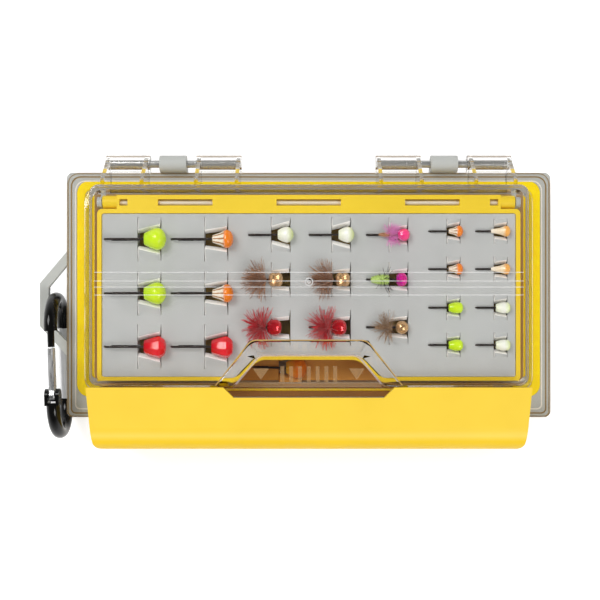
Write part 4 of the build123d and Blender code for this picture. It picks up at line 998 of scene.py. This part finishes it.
def fibre_tree():
    """Fibres that stand out round each point of a mesh, bent and tapered."""
    tree = bpy.data.node_groups.new("hackle_fibres", "GeometryNodeTree")
    tree.interface.new_socket("Geometry", in_out="INPUT", socket_type="NodeSocketGeometry")
    for name, kind in (("Fibres", "Int"), ("Length", "Float"), ("Thickness", "Float"), ("Bend", "Float"),
                       ("Least sweep", "Float"), ("Most sweep", "Float"), ("Spread", "Float"),
                       ("Seed", "Int"), ("Material", "Material")):
        tree.interface.new_socket(name, in_out="INPUT", socket_type="NodeSocket" + kind)
    tree.interface.new_socket("Geometry", in_out="OUTPUT", socket_type="NodeSocketGeometry")

    def new(kind, settings=None, sockets=None, output=0):
        return add_node(tree, kind, settings, sockets, output)

    def given(name):
        return new("NodeGroupInput", output=name)

    def chance(low, high, extra):
        return new("FunctionNodeRandomValue", {"data_type": "FLOAT"},
                   {"Min_001": low, "Max_001": high, "Seed": given("Seed") + extra}, "Value_001")

    many = new("GeometryNodeDuplicateElements", {"domain": "POINT"},
               {"Geometry": given("Geometry"), "Amount": given("Fibres")})
    around = chance(0.0 - given("Spread"), given("Spread"), 1)
    sweep = chance(given("Least sweep"), given("Most sweep"), 2)
    size = chance(0.55, 1.0, 3)
    flat = around.math("COSINE", sweep, 0.0)
    out = around.math("SINE", sweep, 0.0)
    side = around.math("SINE", around, 0.0)
    up = around.math("COSINE", around, 0.0)
    way = new("ShaderNodeCombineXYZ", None, {"X": 0.0 - out, "Y": flat * side, "Z": flat * up})
    turn = new("FunctionNodeAlignRotationToVector", {"axis": "Z"}, {"Vector": way})
    middle = new("ShaderNodeCombineXYZ", None, {"Z": given("Length") * 0.5})
    end = new("ShaderNodeCombineXYZ", None, {"X": given("Bend"), "Z": given("Length")})
    curve = new("GeometryNodeCurveQuadraticBezier", None,
                {"Resolution": 6, "Start": (0.0, 0.0, 0.0), "Middle": middle, "End": end})
    part = new("GeometryNodeSplineParameter", output="Factor")
    curve = new("GeometryNodeSetCurveRadius", None, {"Curve": curve, "Radius": 1.0 - part * 0.8})
    ring = new("GeometryNodeCurvePrimitiveCircle", None,
               {"Resolution": 3, "Radius": given("Thickness")})
    fibre = new("GeometryNodeCurveToMesh", None,
                {"Curve": curve, "Profile Curve": ring, "Fill Caps": True})
    scale = new("ShaderNodeCombineXYZ", None, {"X": size, "Y": size, "Z": size})
    made = new("GeometryNodeInstanceOnPoints", None,
               {"Points": many, "Instance": fibre, "Rotation": turn, "Scale": scale})
    made = new("GeometryNodeRealizeInstances", None, {"Geometry": made})
    made = new("GeometryNodeSetMaterial", None, {"Geometry": made, "Material": given("Material")})
    new("NodeGroupOutput", None, {"Geometry": made})
    return tree


def grow_fibres(tree, name, points, values, finish):
    """The fibres at some points, as a plain mesh."""
    seeds = bpy.data.meshes.new(name + "_points")
    seeds.from_pydata([tuple(p) for p in points], [], [])
    holder = bpy.data.objects.new(name + "_points", seeds)
    bpy.context.scene.collection.objects.link(holder)
    modifier = holder.modifiers.new("fibres", "NODES")
    modifier.node_group = tree
    for item in tree.interface.items_tree:
        if item.in_out == "INPUT" and item.name in values:
            modifier[item.identifier] = values[item.name]
        if item.in_out == "INPUT" and item.name == "Material":
            modifier[item.identifier] = finish
    graph = bpy.context.evaluated_depsgraph_get()
    mesh = bpy.data.meshes.new_from_object(holder.evaluated_get(graph))
    holder.modifiers.remove(modifier)
    bpy.data.objects.remove(holder)
    mesh.name = name
    return mesh


BODY = ((-7.2, 0.0), (-7.1, 0.3), (-5.6, 0.75), (-3.8, 0.95), (-2.0, 0.8), (-0.2, 0.5), (-0.1, 0.0))
ROOT_STEPS = (0.3, 0.9, 1.6, 2.4)
HACKLES = {
    "hackle_pink": {"Fibres": 60, "Length": 5.0, "Thickness": 0.06, "Least sweep": -0.5, "Most sweep": 0.9,
                    "Spread": 1.9, "Bend": 0.8, "Seed": 5},
    "hackles_brown": {"Fibres": 90, "Length": 9.2, "Thickness": 0.07, "Least sweep": 0.15, "Most sweep": 1.5,
                      "Spread": 1.9, "Bend": 1.2, "Seed": 11},
    "hackles_red": {"Fibres": 85, "Length": 8.6, "Thickness": 0.09, "Least sweep": -0.2, "Most sweep": 1.3,
                    "Spread": 1.9, "Bend": 1.6, "Seed": 17},
    "hackle_tan": {"Fibres": 45, "Length": 7.0, "Thickness": 0.07, "Least sweep": -0.1, "Most sweep": 1.4,
                   "Spread": 1.9, "Bend": 1.3, "Seed": 23},
}
LEGS = {"Fibres": 16, "Length": 5.5, "Thickness": 0.12, "Least sweep": -0.2, "Most sweep": 1.0,
        "Spread": 1.7, "Bend": 1.8, "Seed": 31}
SEGMENTS = 7


def in_metres(values):
    """A fibre table with its lengths made metres."""
    lengths = ("Length", "Thickness", "Bend")
    return {name: value * MM if name in lengths else value for name, value in values.items()}


def collar(node, i, box):
    """Where a hackle's or a body's axis meets its head."""
    low, high = box
    return Vector((high.x + jig_shift(node, i), (low.y + high.y) / 2, high.z - (high.y - low.y) / 2))


def add_hackles(tree, finishes):
    """Feather hackles on their wound bodies."""
    for node, values in HACKLES.items():
        roots = []
        work = bmesh.new()
        for i, box in enumerate(solids_of(node)):
            axis = collar(node, i, box)
            turn_round_x(work, BODY, axis, 14)
            for back in ROOT_STEPS:
                roots.append(tuple(axis - Vector((back, 0, 0)) * MM))
        dress = "feather_brown" if node == "hackle_pink" else slot_of(node)
        make_piece(node + "_body", finish_mesh(work, node + "_body"), finishes[dress],
                   node_body(node))
        slot = slot_of(node)
        mesh = grow_fibres(tree, node + "_fibres", roots, in_metres(values), finishes[slot])
        make_piece(node + "_fibres", mesh, finishes[slot], node_body(node), [node])


def add_insect(tree, finishes):
    """A body in segments, with its legs."""
    node = "insect_body_green"
    axis = collar(node, 0, solids_of(node)[0])
    work = bmesh.new()
    profile = [(-7.4, 0.0), (-7.3, 0.35)]
    for i in range(SEGMENTS):
        x = -7.0 + i * 0.98
        wide = 0.8 + 1.35 * math.sin(math.pi * (0.12 + 0.62 * i / SEGMENTS))
        profile += [(x, wide * 0.82), (x + 0.3, wide), (x + 0.68, wide)]
    profile += [(-0.1, 1.2), (-0.1, 0.0)]
    turn_round_x(work, profile, axis, 18)
    mesh = finish_mesh(work, "insect_body_segments")
    make_piece("insect_body_segments", mesh, finishes["body_green"], node_body(node),
               [node])
    roots = [tuple(axis - Vector((back, 0, 0)) * MM) for back in (0.6, 2.2)]
    mesh = grow_fibres(tree, "insect_legs", roots, in_metres(LEGS), finishes["hook_wire"])
    make_piece("insect_legs", mesh, finishes["hook_wire"], node_body(node))


# Shells, pins and the carabiner keep their CAD shape with softened edges

DRESSED = {
    "base_shell": (0.35, 2), "latch_cover": (0.9, 4), "leaf_tray": (0.25, 2), "rim_gasket": (0.35, 3),
    "clear_lid": (0.3, 2), "carabiner_body": (0.0, 1), "carabiner_gate": (0.35, 2), "gate_rivet": (0.15, 2),
    "hinge_pin_left": (0.2, 2), "hinge_pin_right": (0.2, 2), "latch_pin_left": (0.2, 2),
    "latch_pin_right": (0.2, 2), "leaf_pivot_pin_left": (0.15, 2), "leaf_pivot_pin_right": (0.15, 2),
    "jig_hooks_large": (0.0, 1), "jig_hooks_medium": (0.0, 1), "jig_hooks_small": (0.0, 1),
    "base_jig_hooks": (0.0, 1), "gate_spring": (0.0, 1),
}
RESHAPED = {"clear_lid": round_recess, "leaf_tray": round_recess, "latch_cover": round_latch,
            "jig_hooks_large": lengthen_shanks}


def add_shells(finishes):
    """Every rigid node, dressed in its own finish."""
    for node, (bevel, segments) in DRESSED.items():
        slot = slot_of(node)
        finish = finishes["rivet_steel" if node == "gate_rivet" else slot]
        dressed(node, finish, bevel, segments, RESHAPED.get(node))


def rim_line(work, inset, width, height):
    """A low strip round the rim, open between the two front corners, where the latch is."""
    outer = []
    for side in (-1, 1):
        half = FLANGE_HALF_X - inset
        radius = FLANGE_CORNER + 1.5
        front = inset - FLANGE_BACK
        run = [(side * RIM_FRONT_START, front)]
        for i in range(5):
            angle = math.pi / 2 * i / 4
            run.append((side * (half - FRONT_TURN + FRONT_TURN * math.sin(angle)),
                        front + FRONT_TURN - FRONT_TURN * math.cos(angle)))
        for i in range(7):
            angle = math.pi / 2 * i / 6
            run.append((side * (half - radius + radius * math.cos(angle)),
                        FLANGE_BACK - inset - radius + radius * math.sin(angle)))
        outer += run if side < 0 else run[::-1]
    strip_along(work, outer, width, RIM_LINE_Z - 0.1, RIM_LINE_Z + height)


def strip_along(work, line, width, low, high):
    """A strip along the right-hand side of a line, from one height to another."""
    rings = []
    for i, (x, y) in enumerate(line):
        before, after = Vector(line[max(i - 1, 0)]), Vector(line[min(i + 1, len(line) - 1)])
        along = (after - before).normalized()
        inwards = Vector((along.y, -along.x)) * width
        rings.append([work.verts.new(Vector((px, py, z)) * MM)
                      for px, py, z in ((x, y, low), (x, y, high),
                                        (x + inwards.x, y + inwards.y, high),
                                        (x + inwards.x, y + inwards.y, low))])
    for near, far in zip(rings, rings[1:]):
        for i in range(4):
            j = (i + 1) % 4
            work.faces.new((near[i], near[j], far[j], far[i]))
    work.faces.new(rings[0])
    work.faces.new(rings[-1])


def recess_line(outline, grow):
    """An outline of the thumb recess, from its left end, moved out by some millimetres."""
    back_y, back_half, front_y, front_half = outline
    front = (front_half + grow, front_y)
    back = (back_half + grow * 0.7, back_y + grow)
    corners = [(-front[0], front[1]), (-back[0], back[1]), back, front]
    return [corners[0], *corner_arc(*corners[0:3]), *corner_arc(*corners[1:4]), corners[3]]


def arrow(work, x, y, z):
    """A thin triangle that points to the front, in millimetres."""
    corners = ((x - 3.1, y + 2.2), (x + 3.1, y + 2.2), (x, y - 2.2))
    low, high = ([work.verts.new(Vector((px, py, level)) * MM) for px, py in corners]
                 for level in (z, z + 0.04))
    work.faces.new(low)
    work.faces.new(high)
    for i in range(3):
        j = (i + 1) % 3
        work.faces.new((low[i], low[j], high[j], high[i]))


def flat_ring(work, middle, radius, z):
    """A thin flat ring in millimetres."""
    count = 28
    rings = []
    for r, height in ((radius, 0.0), (radius, 0.05), (radius - 0.35, 0.05), (radius - 0.35, 0.0)):
        rings.append([work.verts.new(Vector((middle[0] + r * math.cos(math.tau * i / count),
                                             middle[1] + r * math.sin(math.tau * i / count),
                                             z + height)) * MM) for i in range(count)])
    for a, b in zip(rings, rings[1:] + rings[:1]):
        for i in range(count):
            j = (i + 1) % count
            work.faces.new((a[i], a[j], b[j], b[i]))


def add_small_lines(finishes):
    """Thin lines that the eye picks out: painted shadow and a painted highlight round the rim, painted
    reflections and highlights on the lid, the bar's rods and the recess marks.
    """
    work = bmesh.new()
    # Painted shadow: two dark lines round the rim, under the flange's edge
    for line in RIM_SHADOW_LINES:
        rim_line(work, *line)
    make_piece("rim_shadow_strips", finish_mesh(work, "rim_shadow_strips", False), finishes["painted_rim_shadow"],
               node_body("rim_gasket"))
    # Painted highlight: a pale line round the rim
    work = bmesh.new()
    rim_line(work, *RIM_HIGHLIGHT_LINE)
    make_piece("rim_highlight_strip", finish_mesh(work, "rim_highlight_strip", False), finishes["rod_plastic_and_highlight"],
               node_body("base_shell"))
    # Painted reflections: an amber strip at the recess's rim and a mauve one at its foot
    for name, line, width, z, finish in (
            ("recess_rim", recess_line(RECESS_TOP, 0.7), 0.45, LID_TOP, "amber_reflection_edge"),
            ("recess_foot", recess_line(RECESS_FLOOR, 0.1), 0.8, RECESS_FLOOR_Z, "mauve_reflection_edge")):
        work = bmesh.new()
        strip_along(work, line, width, z + 0.02, z + 0.06)
        make_piece(name, finish_mesh(work, name, False), finishes[finish], node_body("clear_lid"))
    # Painted highlights: pale strips on the band's edges and rings on the gate mark
    work = bmesh.new()
    for y, rise in BAND_EDGES:
        box_into(work, (-BAND_HALF, y - BAND_EDGE_WIDTH / 2, LID_TOP + rise + 0.01),
                 (BAND_HALF, y + BAND_EDGE_WIDTH / 2, LID_TOP + rise + 0.06))
    flat_ring(work, GATE_MARK, GATE_MARK_RADIUS, LID_TOP + GATE_MARK_RISE + 0.01)
    flat_ring(work, GATE_MARK, GATE_MARK_RADIUS * 0.4, LID_TOP + GATE_MARK_RISE + 0.01)
    make_piece("band_edge_highlights", finish_mesh(work, "band_edge_highlights", False), finishes["painted_highlight_edge"],
               node_body("clear_lid"))
    work = bmesh.new()
    for low, high in BAR_WINDOWS:
        half = (high - low) / 2 + 0.2
        profile = [(-half, 0.0), (-half, BAR_ROD_RADIUS), (half, BAR_ROD_RADIUS), (half, 0.0)]
        turn_round_x(work, profile, Vector(((low + high) / 2, *BAR_ROD)) * MM, 24)
    make_piece("bar_rods", finish_mesh(work, "bar_rods", True, 40), finishes["rod_plastic_and_highlight"],
               node_body("leaf_tray"))
    work = bmesh.new()
    for x in MARK_ARROWS:
        arrow(work, x, MARK_Y, MARK_Z)
    for i in range(MARK_BARS):
        x = (i - (MARK_BARS - 1) / 2) * MARK_PITCH
        box_into(work, (x - MARK_BAR[0] / 2, MARK_Y - MARK_BAR[1] / 2, MARK_Z),
                 (x + MARK_BAR[0] / 2, MARK_Y + MARK_BAR[1] / 2, MARK_Z + 0.04))
    make_piece("recess_marks", finish_mesh(work, "recess_marks", False), finishes["recess_mark"],
               node_body("clear_lid"))


# Studio. A mirror sees the world at HORIZON's strength level with it, and at OVERHEAD's above.
# In metres: the floor's half width, and each lamp's name, place and size, before its power in watts.

WORLD_LIGHT = 0.6
HORIZON = 1.0
OVERHEAD = 0.06
FLOOR_HALF = 3.0
LAMPS = (
    ("key_lamp", (-0.55, 0.45, 1.00), 0.50, 6.9),
    ("fill_lamp", (0.62, -0.55, 1.00), 0.42, 4.6),
)


def white_stage_finish(name, albedo, glow):
    """A matt white that the camera sees as white, and that still takes a shadow."""
    finish = Finish(name)
    matt = finish.node("ShaderNodeBsdfDiffuse", None, {"Color": (albedo,) * 3})
    light = finish.node("ShaderNodeEmission", None, {"Strength": seen_directly(finish) * glow})
    both = finish.node("ShaderNodeAddShader", None, {"Shader": matt, "Shader_001": light})
    return finish.done(both)


def add_stage():
    """A pale floor with no end in sight."""
    corners = [(x * FLOOR_HALF, y * FLOOR_HALF, 0) for x, y in ((-1, -1), (1, -1), (1, 1), (-1, 1))]
    mesh = bpy.data.meshes.new("floor")
    mesh.from_pydata(corners, [], [(0, 1, 2, 3)])
    mesh.materials.append(white_stage_finish("floor_white", 0.8, 0.45))
    floor = bpy.data.objects.new("floor", mesh)
    floor.location.z = -0.05 * MM
    bpy.context.scene.collection.objects.link(floor)


def add_world():
    """White all round for the eye, and dimmer as light on the object."""
    world = bpy.data.worlds.new("studio")
    bpy.context.scene.world = world
    world.use_nodes = True
    tree = world.node_tree
    tree.nodes.clear()

    def path(name):
        return add_node(tree, "ShaderNodeLightPath", output=name)

    way = add_node(tree, "ShaderNodeTexCoord", output="Generated")
    up = add_node(tree, "ShaderNodeSeparateXYZ", None, {"Vector": way}, "Z")
    sky = add_node(tree, "ShaderNodeMapRange", None,
                   {"Value": up, "From Min": 0.1, "From Max": 0.6, "To Min": HORIZON,
                    "To Max": OVERHEAD})
    direct = path("Is Camera Ray")
    turned = path("Is Glossy Ray").larger(path("Is Transmission Ray"))
    level = direct + (1.0 - direct) * (turned * sky + (1.0 - turned) * WORLD_LIGHT)
    back = add_node(tree, "ShaderNodeBackground", None, {"Color": (1.0, 1.0, 1.0), "Strength": level})
    add_node(tree, "ShaderNodeOutputWorld", None, {"Surface": back})


def add_lamps():
    """Two large soft boxes that face the box."""
    for name, place, size, power in LAMPS:
        data = bpy.data.lights.new(name, "AREA")
        data.shape = "SQUARE"
        data.size = size
        data.energy = power
        lamp = bpy.data.objects.new(name, data)
        lamp.location = place
        lamp.rotation_euler = (-Vector(place)).to_track_quat("-Z", "Y").to_euler()
        bpy.context.scene.collection.objects.link(lamp)


def add_camera():
    """The photograph's view: straight down on the closed box."""
    data = bpy.data.cameras.new("camera")
    data.sensor_width = SENSOR
    data.lens = SENSOR * CAMERA_RISE / (IMAGE_PX * FLANGE_MM_PER_PX)
    data.clip_start = 0.01
    camera = bpy.data.objects.new("camera", data)
    camera.location = Vector((CAMERA_X, CAMERA_Y, FLANGE_Z + CAMERA_RISE)) * MM
    bpy.context.scene.collection.objects.link(camera)
    bpy.context.scene.camera = camera


bpy.context.scene.view_settings.view_transform = "Standard"
add_camera()
add_stage()
add_world()
add_lamps()
made_finishes = make_finishes()
add_shells(made_finishes)
add_heads(made_finishes)
add_foam(made_finishes["grey_foam"], made_finishes["brown_foam"])
add_small_lines(made_finishes)
made_fibres = fibre_tree()
add_hackles(made_fibres, made_finishes)
add_insect(made_fibres, made_finishes)
